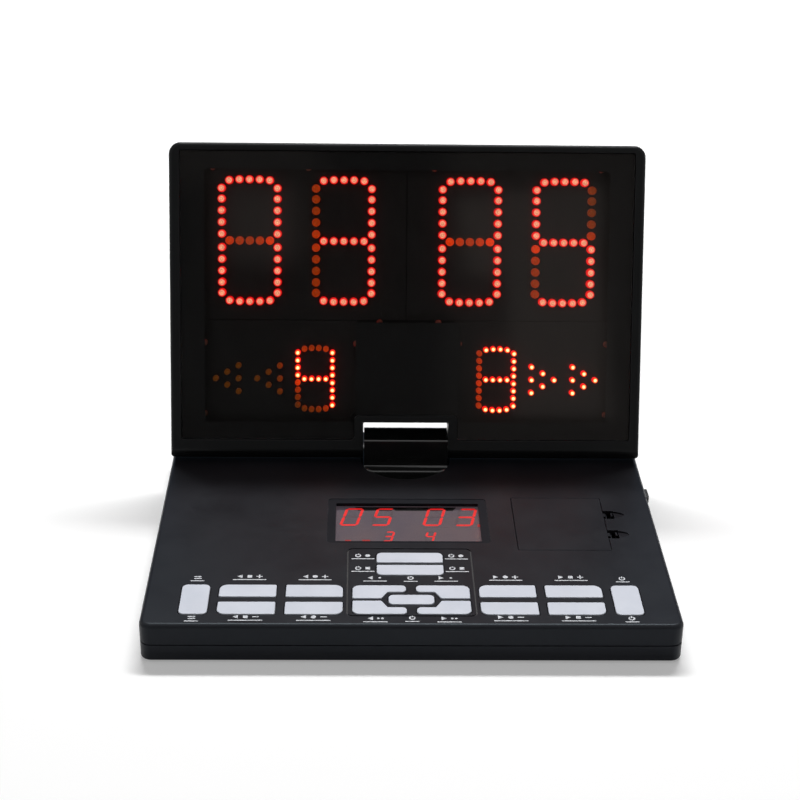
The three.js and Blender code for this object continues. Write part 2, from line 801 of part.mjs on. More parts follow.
// Battery compartment
function batteryDoor() {
  const bottom = ceiling + doorSeatGap;
  const plate = prism(outline(doorCorners), bottom, baseTop, keySteps);
  const barFar = doorRight + latchSlotReach - latchGap;
  const tongues = latchPlaces.flatMap((middle) => [
    box(doorRight - overrun, middle - latchStemWidth / 2, bottom,
      barFar, middle + latchStemWidth / 2, bottom + latchThickness),
    box(barFar - latchBar, middle - latchBarWidth / 2, bottom,
      barFar, middle + latchBarWidth / 2, bottom + latchThickness),
  ]);
  return join(plate, ...tongues);
}

function batteryTray() {
  const landing = rimOverlap + rimLanding;
  const outer = loft([
    [outline(trayInner, trayWall), floorTop],
    [outline(trayInner, trayWall), ceiling - trayRim],
    [outline(trayInner, landing), ceiling - trayRim],
    [outline(trayInner, landing), ceiling],
  ], keySteps);
  const pocket = prism(outline(trayInner), floorTop + trayFloor, ceiling + overrun, keySteps);
  const ribs = cellMiddles().slice(1).map((x) => {
    const between = x - (cellDiameter + cellGap) / 2;
    return box(
      between - ribWidth / 2, doorMiddleY - cellLength / 3, floorTop + trayFloor / 2,
      between + ribWidth / 2, doorMiddleY + cellLength / 3, floorTop + trayFloor + ribHeight);
  });
  return join(cut(outer, pocket), ...ribs);
}

function cellMiddles() {
  const pitch = cellDiameter + cellGap;
  return Array.from({ length: cellCount }, (_, i) => doorMiddleX + (i - (cellCount - 1) / 2) * pitch);
}

const cellMiddleZ = floorTop + trayFloor + cellDiameter / 2;

function batteryCell() {
  const radius = cellDiameter / 2;
  const body = cellLength - cellNubLength;
  return turned([
    [0, 0], [radius - cellEdge, 0], [radius, cellEdge], [radius, body - cellEdge], [radius - cellEdge, body],
    [cellNubRadius, body], [cellNubRadius, cellLength], [0, cellLength],
  ]).translate(0, 0, -cellLength / 2).rotateX(-Math.PI / 2);
}

// One end's contact strip with a cone for each cell; direction is 1 for the front strip.
function batteryContact(direction) {
  const face = doorMiddleY - direction * (trayInnerDepth / 2);
  const inner = face + direction * contactThickness;
  const half = trayInnerWidth / 2 - cellSideRoom;
  const strip = box(
    doorMiddleX - half, Math.min(face, inner), cellMiddleZ - contactHeight / 2,
    doorMiddleX + half, Math.max(face, inner), cellMiddleZ + contactHeight / 2);
  const cones = cellMiddles().map((x) =>
    turned([
      [0, contactThickness / 2],
      [contactBaseRadius, contactThickness / 2],
      [contactTipRadius, contactThickness + contactReach],
      [0, contactThickness + contactReach],
    ], screwSides).rotateX(-direction * (Math.PI / 2)).translate(x, face, cellMiddleZ));
  return join(strip, ...cones);
}

// Side switch, power inlet, feet and screws
function switchKnob() {
  const low = switchMiddleZ - switchCapHeight / 2;
  const high = switchMiddleZ + switchCapHeight / 2;
  const capCorners = rectangle(
    -switchPlace - switchCapLength / 2, low, -switchPlace + switchCapLength / 2, high, switchCapEdge);
  const face = caseReach + switchCapReach;
  const cap = alongX(loft([
    [outline(capCorners), caseReach + switchGap],
    [outline(capCorners), face - switchCapEdge],
    [outline(capCorners, -switchCapEdge / 2), face],
  ], keySteps));
  const stem = box(
    caseReach - wall - switchGap, stemFront, switchMiddleZ - switchStemHeight / 2,
    caseReach + switchGap + overrun, stemBack, switchMiddleZ + switchStemHeight / 2);
  return join(cap, stem);
}

function switchBody() {
  const right = caseReach - wall - 2 * switchGap;
  return box(
    right - switchBodyDepth, stemFront - switchBodyMargin, switchMiddleZ - switchBodyHeight / 2,
    right, stemBack + switchTravel + switchBodyMargin, switchMiddleZ + switchBodyHeight / 2);
}

function inlet() {
  const back = inletDepth - inletBodyDepth / 2;
  const barrel = turned([
    [0, inletPinSink],
    [inletPinRadius, inletPinSink],
    [inletPinRadius, back],
    [inletBore, back],
    [inletBore, 0],
    [inletRadius, 0],
    [inletRadius, inletDepth],
    [0, inletDepth],
  ]);
  const housing = cut(
    box(
      -inletBodyWidth / 2, -inletBodyRise, wall,
      inletBodyWidth / 2, inletBodyRise, inletDepth + inletBodyDepth),
    cylinder(inletRadius - inletGap, wall - overrun, back));
  return join(barrel, housing)
    .rotateX(Math.PI / 2).translate(-inletPlace, rearReach, inletRise);
}

function foot() {
  return turned([
    [0, 0], [footRadius - footEdge, 0], [footRadius, footEdge], [footRadius, footHeight], [0, footHeight],
  ]);
}

// A pan-headed screw, head down, with its seat at zero height.
function screw(shankLength) {
  return turned([
    [0, -screwHeadHeight],
    [screwHeadRadius - screwRecess, -screwHeadHeight],
    [screwHeadRadius, -screwHeadHeight + screwRecess],
    [screwHeadRadius, 0],
    [screwShankRadius, 0],
    [screwShankRadius, shankLength - screwTip],
    [0, shankLength],
  ], screwSides);
}

// Swivel: the turntable's disc and hollow spindle, its bush and its nut
const discBottom = baseTop + discProud - discThickness;
const nutTop = ceiling - collarHeight - nutGap;

function turntable() {
  const top = baseTop + discProud;
  const bottom = nutTop - nutThickness - spindleEnd;
  return turned([
    [spindleBore, bottom], [spindleRadius, bottom], [spindleRadius, discBottom], [discRadius, discBottom],
    [discRadius, top - discEdge], [discRadius - discEdge, top], [spindleBore, top], [spindleBore, bottom],
  ], roundSides);
}

function swivelBush() {
  const inner = spindleRadius + bushGap;
  return ring(inner, inner + bushWall, ceiling - collarHeight, discBottom - discGap);
}

function swivelNut() {
  const inner = spindleRadius + nutFit;
  return ring(inner, inner + nutReach, nutTop - nutThickness, nutTop);
}

// Hinge block on the turntable, and its pins
function hingeBlock() {
  const discTop = baseTop + discProud;
  const padTop = discTop + padRise;
  const top = axisHeight + blockRise;
  const body = alongX(prism(outline([
    [-blockFront, padTop, 0],
    [blockRear, padTop, 0],
    [blockRear, top, blockRearRound],
    [-blockFront, top, blockFrontRound],
  ]), -blockReach, blockReach, noseSteps));
  const pad = prism(
    outline(rectangle(-blockReach, -padReach, blockReach, padReach, padCorner)), discTop, padTop);
  const skirt = alongX(prism(outline([
    [-blockFront - skirtReach, padTop - padRise / 2, 0],
    [blockRear + skirtReach, padTop - padRise / 2, 0],
    [blockRear + skirtReach, padTop, 0],
    [blockRear, padTop + skirtRise, 0],
    [-blockFront, padTop + skirtRise, 0],
    [-blockFront - skirtReach, padTop, 0],
  ]), -blockReach, blockReach));
  const bores = [-1, 1].map((side) =>
    alongX(cylinder(pinRadius + pinFit, blockReach - pinInset - pinFit, blockReach + overrun))
      .rotateZ(side < 0 ? Math.PI : 0).translate(0, 0, axisHeight));
  return cut(join(body, pad, skirt), ...bores);
}

function tiltPin(side) {
  return alongX(cylinder(pinRadius, blockReach - pinInset, blockReach + pinReach))
    .rotateZ(side < 0 ? Math.PI : 0).translate(0, 0, axisHeight);
}

// Lid, drawn flat: X across, Y from the tilt axis to the free edge, Z out of the display's face
const lidCorners = rectangle(
  -caseReach, -lidFrontDepth, caseReach, frontReach,
  [lidBottomCorner, lidBottomCorner, lidTopCorner, lidTopCorner]);
const plateWindow = [
  [-caseReach + windowBorder, windowFoot, lidWindowCorner],
  [-notchReachX - rimWidth, windowFoot, rimCorner],
  [-notchReachX - rimWidth, notchTop + rimTop, rimCorner],
  [notchReachX + rimWidth, notchTop + rimTop, rimCorner],
  [notchReachX + rimWidth, windowFoot, rimCorner],
  [caseReach - windowBorder, windowFoot, lidWindowCorner],
  [caseReach - windowBorder, frontReach - windowTopBorder, lidWindowCorner],
  [-caseReach + windowBorder, frontReach - windowTopBorder, lidWindowCorner],
];
const plateFace = lidFrontDepth - plateSink;
const ledgeFace = plateFace - plateThickness - turnedGap;
const ledgeBack = ledgeFace - ledgeThickness;
const rearSeam = -seamDepth - turnedGap;

// The lid's side profile: a nose round the tilt axis and a slope up to the back.
function lidProfile() {
  const profile = new THREE.Shape();
  const diagonal = lidFrontDepth * Math.SQRT1_2;
  profile.moveTo(frontReach + overrun, -lidBackDepth - overrun);
  profile.lineTo(frontReach + overrun, lidFrontDepth + overrun);
  profile.lineTo(0, lidFrontDepth + overrun);
  profile.lineTo(0, lidFrontDepth);
  profile.absarc(0, 0, lidFrontDepth, Math.PI / 2, Math.PI * 1.25, false);
  profile.lineTo(-diagonal, -diagonal);
  profile.lineTo(noseStart, -lidBackDepth);
  profile.lineTo(noseStart, -lidBackDepth - overrun);
  return alongX(prism(profile, -caseWidth, caseWidth, noseSteps));
}

function notch(grow, low, high) {
  const corners = [
    [-notchReachX, -lidBackDepth - 2 * overrun, 0],
    [notchReachX, -lidBackDepth - 2 * overrun, 0],
    [notchReachX, notchTop, notchCorner],
    [-notchReachX, notchTop, notchCorner],
  ];
  return prism(outline(corners, grow), low, high, keySteps);
}

const lidScrewPlaces = [
  ['lower_left', -caseReach + lidScrewInset, lidScrewFoot],
  ['lower_right', caseReach - lidScrewInset, lidScrewFoot],
  ['upper_left', -caseReach + lidScrewInset, frontReach - lidScrewTopInset],
  ['upper_right', caseReach - lidScrewInset, frontReach - lidScrewTopInset],
];

// Bosses round the tilt pins, running in from the notch's side walls
function lidBosses(radius, inner, outer) {
  return [-1, 1].map((side) => alongX(cylinder(radius, inner, outer)).rotateZ(side < 0 ? Math.PI : 0));
}

function lidHollow(inset, low, high) {
  const room = prism(outline(lidCorners, -inset), low, high);
  const nose = lidFrontDepth - inset;
  const lowerEdge = box(
    -caseWidth, -lidFrontDepth - overrun, low - overrun, caseWidth, -nose, high + overrun);
  return cut(room, lowerEdge, notch(inset, low - overrun, high + overrun));
}

function lidFrame() {
  const slab = loft(roundedLayers(lidCorners, -seamDepth, lidFrontDepth, frontEdgeRound));
  const outer = common(slab, lidProfile());
  const hollow = common(lidHollow(wall, -seamDepth - overrun, ledgeBack), insideProfile(wall));
  const opening = prism(outline(plateWindow), ledgeFace, lidFrontDepth + overrun, keySteps);
  const view = prism(outline(plateWindow, -ledgeWidth), -seamDepth, lidFrontDepth, keySteps);
  const bosses = lidScrewPlaces.map(([, x, y]) =>
    cylinder(lidBossWall, -seamDepth, ledgeBack + ledgeThickness / 2, screwSides).translate(x, y, 0));
  const pilot = cylinder(screwShankRadius + pilotRoom, -seamDepth - overrun, lidScrewBite, screwSides);
  const pilots = lidScrewPlaces.map(([, x, y]) => pilot.clone().translate(x, y, 0));
  const pinBosses = lidBosses(lidBossRadius, notchReachX, notchReachX + lidBossReach);
  const bores = lidBosses(pinRadius + pinGap, notchReachX - overrun, notchReachX + lidBossReach + overrun);
  const open = cut(
    outer, hollow, opening, view, notch(0, -lidBackDepth - overrun, lidFrontDepth + 2 * overrun));
  return cut(join(open, ...bosses, ...pinBosses), ...pilots, ...bores);
}

// The room inside the nose and slope, at one wall's distance from the outside
function insideProfile(inset) {
  const profile = new THREE.Shape();
  const nose = lidFrontDepth - inset;
  const diagonal = nose * Math.SQRT1_2;
  profile.moveTo(frontReach, -lidBackDepth - overrun);
  profile.lineTo(frontReach, lidFrontDepth + overrun);
  profile.lineTo(0, lidFrontDepth + overrun);
  profile.lineTo(0, nose);
  profile.absarc(0, 0, nose, Math.PI / 2, Math.PI * 1.25, false);
  profile.lineTo(-diagonal, -diagonal);
  profile.lineTo(noseStart + inset, -lidBackDepth + inset / 2);
  profile.lineTo(noseStart + inset, -lidBackDepth - overrun);
  return alongX(prism(profile, -caseWidth, caseWidth, noseSteps));
}

function lidRearCover() {
  const slab = loft(roundedLayers(lidCorners, rearSeam, -lidBackDepth, backEdgeRound));
  const outer = common(slab, lidProfile());
  const floor = -lidBackDepth + rearWall;
  const hollow = common(lidHollow(rearWall, floor, rearSeam + overrun), insideProfile(rearWall));
  const bosses = lidScrewPlaces.map(([, x, y]) =>
    cylinder(lidBossWall, floor - rearWall / 2, rearSeam, screwSides).translate(x, y, 0));
  const posts = boardPostPlaces().map(([x, y]) =>
    cylinder(lidPostRadius, floor - rearWall / 2, boardBackFace - turnedGap, screwSides).translate(x, y, 0));
  const seat = -lidBackDepth + screwRecess + screwHeadHeight;
  const screwHoles = lidScrewPlaces.flatMap(([, x, y]) => [
    cylinder(screwHeadRadius + headRoom, -lidBackDepth - overrun, seat).translate(x, y, 0),
    cylinder(screwShankRadius + shankRoom, -lidBackDepth, rearSeam + overrun, screwSides).translate(x, y, 0),
  ]);
  const pinRoom = lidBosses(
    lidBossRadius + lidBossGap, notchReachX - overrun, notchReachX + lidBossReach + lidBossGap);
  const shell = cut(outer, hollow, notch(0, -lidBackDepth - 2 * overrun, lidFrontDepth));
  return cut(join(shell, ...bosses, ...posts), ...screwHoles, ...pinRoom);
}

function lidWindow() {
  return prism(outline(plateWindow, -turnedGap), plateFace - plateThickness, plateFace, keySteps);
}

// Lamp places
const windowHeight = frontReach - windowTopBorder - windowFoot;
const windowHalf = caseReach - windowBorder;
const bigRow = windowFoot + bigRowShare * windowHeight;
const smallRow = windowFoot + smallRowShare * windowHeight;

function digitLamps(x, y, reach, rise, rowShares, columnShares) {
  const rows = [-1, 0, 1].flatMap((level) =>
    rowShares.map((share) => [x + share * reach, y + level * rise]));
  const columns = [-1, 1].flatMap((side) => [-1, 1].flatMap((level) =>
    columnShares.map((share) => [x + side * reach, y + level * share * rise])));
  return [...rows, ...columns];
}

// Six lamps in three columns, three, two and one, with the tip towards the given side.
function arrowLamps(x, y, side) {
  return [3, 2, 1].flatMap((count, column) =>
    Array.from({ length: count }, (_, i) => [
      x + side * (column - 1) * arrowColumnPitch,
      y + (i - (count - 1) / 2) * arrowRowPitch,
    ]));
}

function bigLamps(side) {
  return bigDigitShares.flatMap((share) => digitLamps(
    side * share * windowHalf, bigRow, bigDigitReach, bigDigitRise,
    bigRowLampShares, bigColumnLampShares));
}

function smallLamps(side) {
  const digit = digitLamps(
    side * smallDigitShare * windowHalf, smallRow, smallDigitReach, smallDigitRise,
    smallRowLampShares, smallColumnLampShares);
  const arrows = [outerArrowShare, innerArrowShare].flatMap((share) =>
    arrowLamps(side * share * windowHalf, smallRow, side));
  return [...digit, ...arrows];
}

// Board outlines: the upper pair meets on the middle line, the lower pair stands beside the driver board
function upperBoardBox(side) {
  const outer = bigDigitShares[0] * windowHalf + bigDigitReach + boardEdge;
  const low = bigRow - bigDigitRise - boardEdge;
  const high = bigRow + bigDigitRise + boardEdge;
  return side < 0 ? [-outer, low, -boardSplit, high] : [boardSplit, low, outer, high];
}

function lowerBoardBox(side) {
  const outer = outerArrowShare * windowHalf + arrowColumnPitch + boardEdge;
  const inner = notchReachX + rearWall + boardSplit;
  const high = upperBoardBox(side)[1] - 2 * boardSplit;
  const low = smallRow - smallDigitRise - boardEdge / 2;
  return side < 0 ? [-outer, low, -inner, high] : [inner, low, outer, high];
}

function driverBoardBox() {
  const high = upperBoardBox(1)[1] - 2 * boardSplit;
  return [-driverReach, notchTop + rearWall + boardSplit, driverReach, high];
}

function boardPostPlaces() {
  return [-1, 1].flatMap((side) => [upperBoardBox(side), lowerBoardBox(side)].flatMap((area) => {
    const [left, low, right, high] = area;
    return [[left + lidPostInset, low + lidPostInset], [right - lidPostInset, high - lidPostInset]];
  })).concat([[0, (driverBoardBox()[1] + driverBoardBox()[3]) / 2]]);
}

function lamp(radius) {
  const foot = -lampLength - boardThickness / 2;
  return turned([[0, foot], [radius, foot], [radius, -lampDome], [0, 0]], lampSides);
}

function lampBoard([left, low, right, high], lamps, radius) {
  const plate = box(left, low, boardBackFace, right, high, lampFace);
  const proto = lamp(radius).translate(0, 0, lampTip);
  return join(plate, ...lamps.map(([x, y]) => proto.clone().translate(x, y, 0)));
}

// Base pieces
addPiece(base, 'base_top_shell', baseTopShell(), 'case_black');
addPiece(base, 'base_bottom_shell', baseBottomShell(), 'case_black');
addPiece(base, 'main_board', mainBoard(), 'circuit_board');
addPiece(base, 'key_mat', keyMat(), 'rubber_mat');
addPiece(base, 'operator_board', operatorBoard(), 'circuit_board');
addPiece(base, 'operator_window', operatorWindow(), 'window_smoke');
addPiece(base, 'battery_tray', batteryTray(), 'case_black');
cellMiddles().forEach((x, i) => {
  const cell = batteryCell().rotateZ(i % 2 ? Math.PI : 0).translate(x, doorMiddleY, cellMiddleZ);
  addPiece(base, `battery_cell_${i + 1}`, cell, 'cell_wrap');
});
addPiece(base, 'battery_contact_front', batteryContact(1), 'steel_plated');
addPiece(base, 'battery_contact_rear', batteryContact(-1), 'steel_plated');
addPiece(base, 'battery_door', batteryDoor(), 'case_black');
addPiece(base, 'side_switch_knob', switchKnob(), 'case_black');
addPiece(base, 'side_switch_body', switchBody(), 'plastic_white');
addPiece(base, 'dc_inlet', inlet(), 'case_black');
addPiece(base, 'swivel_bush', swivelBush(), 'plastic_white');
for (const [name, corners] of Object.entries(keys)) addPiece(base, name, keyCap(corners), 'key_grey');
for (const [corner, x, y] of cornerPlaces(footInset)) {
  addPiece(base, `foot_${corner}`, foot().translate(x, y, 0), 'rubber_dark');
}
for (const [corner, x, y] of cornerPlaces(screwInset)) {
  const seat = standGap + screwRecess + screwHeadHeight;
  const shank = partingHeight + screwBite - seat;
  addPiece(base, `base_screw_${corner}`, screw(shank).translate(x, y, seat), 'steel_plated');
}

// Swivelling pieces
addPiece(base, 'turntable', turntable(), 'hinge_black');
addPiece(base, 'swivel_nut', swivelNut(), 'steel_plated');
addPiece(base, 'hinge_block', hingeBlock(), 'hinge_black');
addPiece(base, 'tilt_pin_left', tiltPin(-1), 'steel_plated');
addPiece(base, 'tilt_pin_right', tiltPin(1), 'steel_plated');

// Lid pieces
addPiece(lid, 'lid_frame', lidFrame(), 'case_black');
addPiece(lid, 'lid_rear_cover', lidRearCover(), 'case_black');
addPiece(lid, 'lid_window', lidWindow(), 'window_smoke');
for (const [name, side] of [['left', -1], ['right', 1]]) {
  const upper = lampBoard(upperBoardBox(side), bigLamps(side), bigLampRadius);
  const lower = lampBoard(lowerBoardBox(side), smallLamps(side), smallLampRadius);
  addPiece(lid, `display_board_upper_${name}`, upper, 'lamp_board');
  addPiece(lid, `display_board_lower_${name}`, lower, 'lamp_board');
}
addPiece(lid, 'driver_board', lampBoard(driverBoardBox(), [], 0), 'circuit_board');
for (const [place, x, y] of lidScrewPlaces) {
  const seat = -lidBackDepth + screwRecess + screwHeadHeight - turnedGap;
  const shank = lidScrewBite - screwTip - seat;
  addPiece(lid, `lid_screw_${place}`, screw(shank).translate(x, y, seat), 'steel_plated');
}

// The open lid stands on the tilt axis and leans back.
lid.position.set(0, 0, axisHeight);
lid.rotation.x = Math.PI / 2 - lean;

// The part's origin is on the table under the middle of the open scoreboard.
const lidTopReach = (frontReach - backEdgeRound) * Math.sin(lean)
  + (lidBackDepth - backEdgeRound) * Math.cos(lean) + backEdgeRound;
model.position.y = (frontReach - lidTopReach) / 2;

const scoreboard = new THREE.Group();
scoreboard.add(model);

export default scoreboard;
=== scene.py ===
# Electronic scoreboard: finishes, rounded shapes, print and lamps. Lengths are millimetres, with
# the tilt axis at Y 0 and the table at Z 0, and become metres when a mesh is placed.
import json
import math

import bmesh
import bpy
from mathutils import Matrix, Vector


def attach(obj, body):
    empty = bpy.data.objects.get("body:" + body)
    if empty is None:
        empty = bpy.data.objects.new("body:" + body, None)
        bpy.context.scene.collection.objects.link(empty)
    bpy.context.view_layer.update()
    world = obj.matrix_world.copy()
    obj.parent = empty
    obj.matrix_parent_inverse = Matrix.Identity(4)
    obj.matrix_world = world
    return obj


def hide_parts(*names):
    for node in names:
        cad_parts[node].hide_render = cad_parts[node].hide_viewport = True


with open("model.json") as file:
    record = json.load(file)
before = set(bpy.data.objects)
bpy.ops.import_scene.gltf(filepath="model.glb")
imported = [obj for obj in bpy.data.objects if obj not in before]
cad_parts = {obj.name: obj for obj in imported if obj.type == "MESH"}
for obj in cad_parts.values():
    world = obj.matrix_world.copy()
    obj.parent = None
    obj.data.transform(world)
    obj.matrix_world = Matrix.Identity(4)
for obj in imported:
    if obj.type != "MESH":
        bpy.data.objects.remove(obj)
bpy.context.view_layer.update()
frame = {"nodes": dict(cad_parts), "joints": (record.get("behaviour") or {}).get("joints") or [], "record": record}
nodes = frame["nodes"]

MM = 0.001
axis = Vector(next(j["pos_m"] for j in frame["joints"] if j["name"] == "lid_tilt"))
LEAN = math.radians(19.25)
ON_BASE = Matrix.Translation((0, axis.y, 0)) @ Matrix.Scale(MM, 4)
ON_LID = Matrix.Translation(axis) @ Matrix.Rotation(math.pi / 2 - LEAN, 4, "X") @ Matrix.Scale(MM, 4)

# Case sizes; reaches are from the tilt axis or from the middle
CASE_REACH = 140
FRONT_REACH = 180
REAR_REACH = 35
STAND_GAP = 0.8
BASE_TOP = 22.6
PARTING = 10.9
CEILING = 20.4
FLOOR_TOP = 2.8
BASE_CORNER = 6
TOP_ROUND = 2.5
BOTTOM_ROUND = 1.2
WALL = 2.2
GROOVE_HEIGHT = 0.8
GROOVE_DEPTH = 0.5
RIM_CHAMFER = 0.22  # broken edge of every opening
OVERRUN = 1  # how far a cutter passes a surface
ARC_STEPS = 9
SMALL_ARC_STEPS = 4
EDGE_STEPS = 6
ROUND_SIDES = 96
SMALL_SIDES = 32
ARC_SIDES = 24
MERGE_DISTANCE = 1e-5
SLIVER = 1e-6
SMOOTH_ANGLE = 30

# Lid sizes; heights are from the tilt axis to the lid's face and back
LID_FRONT = 6.9
LID_BACK = 10
LID_TOP_CORNER = 7
LID_LOW_CORNER = 3
LID_FRONT_ROUND = 2.2
LID_BACK_ROUND = 2
SEAM = 2
TURNED_GAP = 0.3
NOTCH_REACH = 26.2
NOTCH_TOP = 15.66
NOTCH_CORNER = 0.8
NOTCH_GAP = 0.55
BLOCK_INSET = 0.35
BORDER = 6.05
TOP_BORDER = 4.2
WINDOW_FOOT = 4.7
WINDOW_CORNER = 1.5
RIM_WIDTH = 4.4
RIM_TOP = 3.6
RIM_CORNER = 2.2
LEDGE = 2.5
PLATE_FACE = 6.7
PLATE_THICKNESS = 2
LAMP_BOARD_FACE = -5.2
BOARD_THICKNESS = 1.6
LAMP_TIP = 0.3


# Outlines: corners are (x, y, radius), counterclockwise
def outline(corners, grow=0.0, steps=ARC_STEPS):
    points = []
    count = len(corners)
    for index, (x, y, radius) in enumerate(corners):
        corner = Vector((x, y))
        arriving = (corner - Vector(corners[index - 1][:2])).normalized()
        leaving = (Vector(corners[(index + 1) % count][:2]) - corner).normalized()
        turn = math.atan2(arriving.x * leaving.y - arriving.y * leaving.x, arriving.dot(leaving))
        outward = Vector((arriving.y + leaving.y, -arriving.x - leaving.x))
        corner = corner + outward * (grow / (1 + arriving.dot(leaving)))
        side = math.copysign(1, turn)
        bend = max(radius + side * grow, 0) if radius > 0 else 0
        if radius == 0:
            points.append(corner)
            continue
        start = corner - arriving * (bend * math.tan(abs(turn) / 2))
        centre = start + Vector((-arriving.y, arriving.x)) * (side * bend)
        first = math.atan2(start.y - centre.y, start.x - centre.x)
        for step in range(steps + 1):
            angle = first + turn * step / steps
            points.append(centre + Vector((math.cos(angle), math.sin(angle))) * bend)
    return points


def rectangle(left, front, right, back, radii=0):
    """Corners from the front left one, with one radius or one for each."""
    a, b, c, d = radii if isinstance(radii, (list, tuple)) else [radii] * 4
    return [(left, front, a), (right, front, b), (right, back, c), (left, back, d)]


def mirrored(corners):
    return [(-x, y, radius) for x, y, radius in reversed(corners)]


def circle(radius, sides=ROUND_SIDES, x=0.0, y=0.0):
    turns = [2 * math.pi * i / sides for i in range(sides)]
    return [Vector((x + radius * math.cos(t), y + radius * math.sin(t))) for t in turns]


# Closed meshes from outlines
def solid(points, faces):
    mesh = bpy.data.meshes.new("shape")
    mesh.from_pydata(points, [], faces)
    return cleaned(mesh)


def ring_faces(low, high, count):
    """Faces between two rings of points, whose first points are low and high."""
    return [(low + i, low + (i + 1) % count, high + (i + 1) % count, high + i) for i in range(count)]


def loft(layers):
    """A solid through (outline, height) layers whose outlines have as many points each."""
    count = len(layers[0][0])
    points = [(p.x, p.y, z) for ring, z in layers for p in ring]
    faces = [list(range(count))[::-1]]
    for layer in range(len(layers) - 1):
        faces += ring_faces(layer * count, (layer + 1) * count, count)
    last = (len(layers) - 1) * count
    faces.append(list(range(last, last + count)))
    return solid(points, faces)


def prism(ring, low, high):
    return loft([(ring, low), (ring, high)])


def hollow_prism(outer, inner, low, high):
    count = len(outer)
    rings = ((outer, low), (outer, high), (inner, high), (inner, low))
    faces = []
    for layer in range(len(rings)):
        faces += ring_faces(layer * count, (layer + 1) % len(rings) * count, count)
    return solid([(p.x, p.y, z) for ring, z in rings for p in ring], faces)


def turned(profile, sides=ROUND_SIDES):
    """A solid of (radius, height) points about Z, the outer side going up; closed, it is a ring."""
    points = [(r * math.cos(2 * math.pi * i / sides), r * math.sin(2 * math.pi * i / sides), z)
              for r, z in profile for i in range(sides)]
    faces = []
    for layer in range(len(profile) - 1):
        faces += ring_faces(layer * sides, (layer + 1) * sides, sides)
    return solid(points, faces)


def cleaned(mesh):
    shape = bmesh.new()
    shape.from_mesh(mesh)
    bmesh.ops.remove_doubles(shape, verts=shape.verts, dist=MERGE_DISTANCE)
    bmesh.ops.dissolve_degenerate(shape, edges=shape.edges, dist=SLIVER)
    bmesh.ops.recalc_face_normals(shape, faces=shape.faces)
    shape.to_mesh(mesh)
    shape.free()
    return mesh


def block(left, front, low, right, back, high):
    return prism(outline(rectangle(left, front, right, back)), low, high)


def moved(mesh, matrix):
    mesh.transform(matrix)
    return mesh


def along_x(mesh):
    """A solid drawn along Z laid so that its section lies in YZ and its length along X."""
    return moved(mesh, Matrix(((0, 0, 1, 0), (1, 0, 0, 0), (0, 1, 0, 0), (0, 0, 0, 1))))


def at(mesh, x, y, z=0):
    return moved(mesh, Matrix.Translation((x, y, z)))


def joined(meshes):
    shape = bmesh.new()
    for mesh in meshes:
        shape.from_mesh(mesh)
        bpy.data.meshes.remove(mesh)
    whole = bpy.data.meshes.new("shape")
    shape.to_mesh(whole)
    shape.free()
    return whole


def carrier(mesh, name="carrier"):
    thing = bpy.data.objects.new(name, mesh)
    bpy.context.scene.collection.objects.link(thing)
    return thing


def discard(thing):
    mesh = thing.data
    bpy.data.objects.remove(thing)
    bpy.data.meshes.remove(mesh)


def baked(thing):
    """The object's mesh with its modifiers applied; the object itself is removed."""
    graph = bpy.context.evaluated_depsgraph_get()
    mesh = bpy.data.meshes.new_from_object(thing.evaluated_get(graph))
    discard(thing)
    return mesh


def boolean(mesh, tools, operation="DIFFERENCE"):
    body = carrier(mesh)
    tool = carrier(joined(tools))
    step = body.modifiers.new("step", "BOOLEAN")
    step.operation = operation
    step.solver = "EXACT"
    step.object = tool
    result = baked(body)
    discard(tool)
    return cleaned(result)


# Finished pieces
def piece(name, mesh, place, body, material, stands_for=(), angle=SMOOTH_ANGLE, bevel=0.0):
    """A mesh put in its place, with smooth faces and, where asked, broken edges."""
    mesh.transform(place)
    mesh.name = name
    thing = carrier(mesh, name)
    if bevel:
        edge = thing.modifiers.new("edge", "BEVEL")
        edge.width = bevel * MM
        edge.segments = 2
        edge.limit_method = "ANGLE"
        edge.angle_limit = math.radians(angle)
        edge.use_clamp_overlap = True
        edge.harden_normals = False
    mesh = smoothed(baked(thing), angle)
    return dressed(name, mesh, body, material, stands_for)


def smoothed(mesh, angle=SMOOTH_ANGLE):
    """Smooth shading, with edges sharper than the angle kept and flat faces left flat."""
    for polygon in mesh.polygons:
        polygon.use_smooth = True
    mesh.set_sharp_from_angle(angle=math.radians(angle))
    thing = carrier(mesh)
    weighted = thing.modifiers.new("weighted", "WEIGHTED_NORMAL")
    weighted.keep_sharp = True
    weighted.weight = 80
    return baked(thing)


def dressed(name, mesh, body, material, stands_for=()):
    mesh.name = name
    thing = carrier(mesh, name)
    if material:
        mesh.materials.clear()
        mesh.materials.append(material)
    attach(thing, body)
    if stands_for:
        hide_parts(*stands_for)
    return thing


# Camera, at the photograph's viewing angle
CAMERA_PLACE = (-27.57, -910.69, 515.43)
CAMERA_YAW = 0.0262418
CAMERA_PITCH = 0.4621783
CAMERA_ROLL = 0.0168168
LENS = 77.107
SENSOR = 36
NEAR_CLIP = 0.05


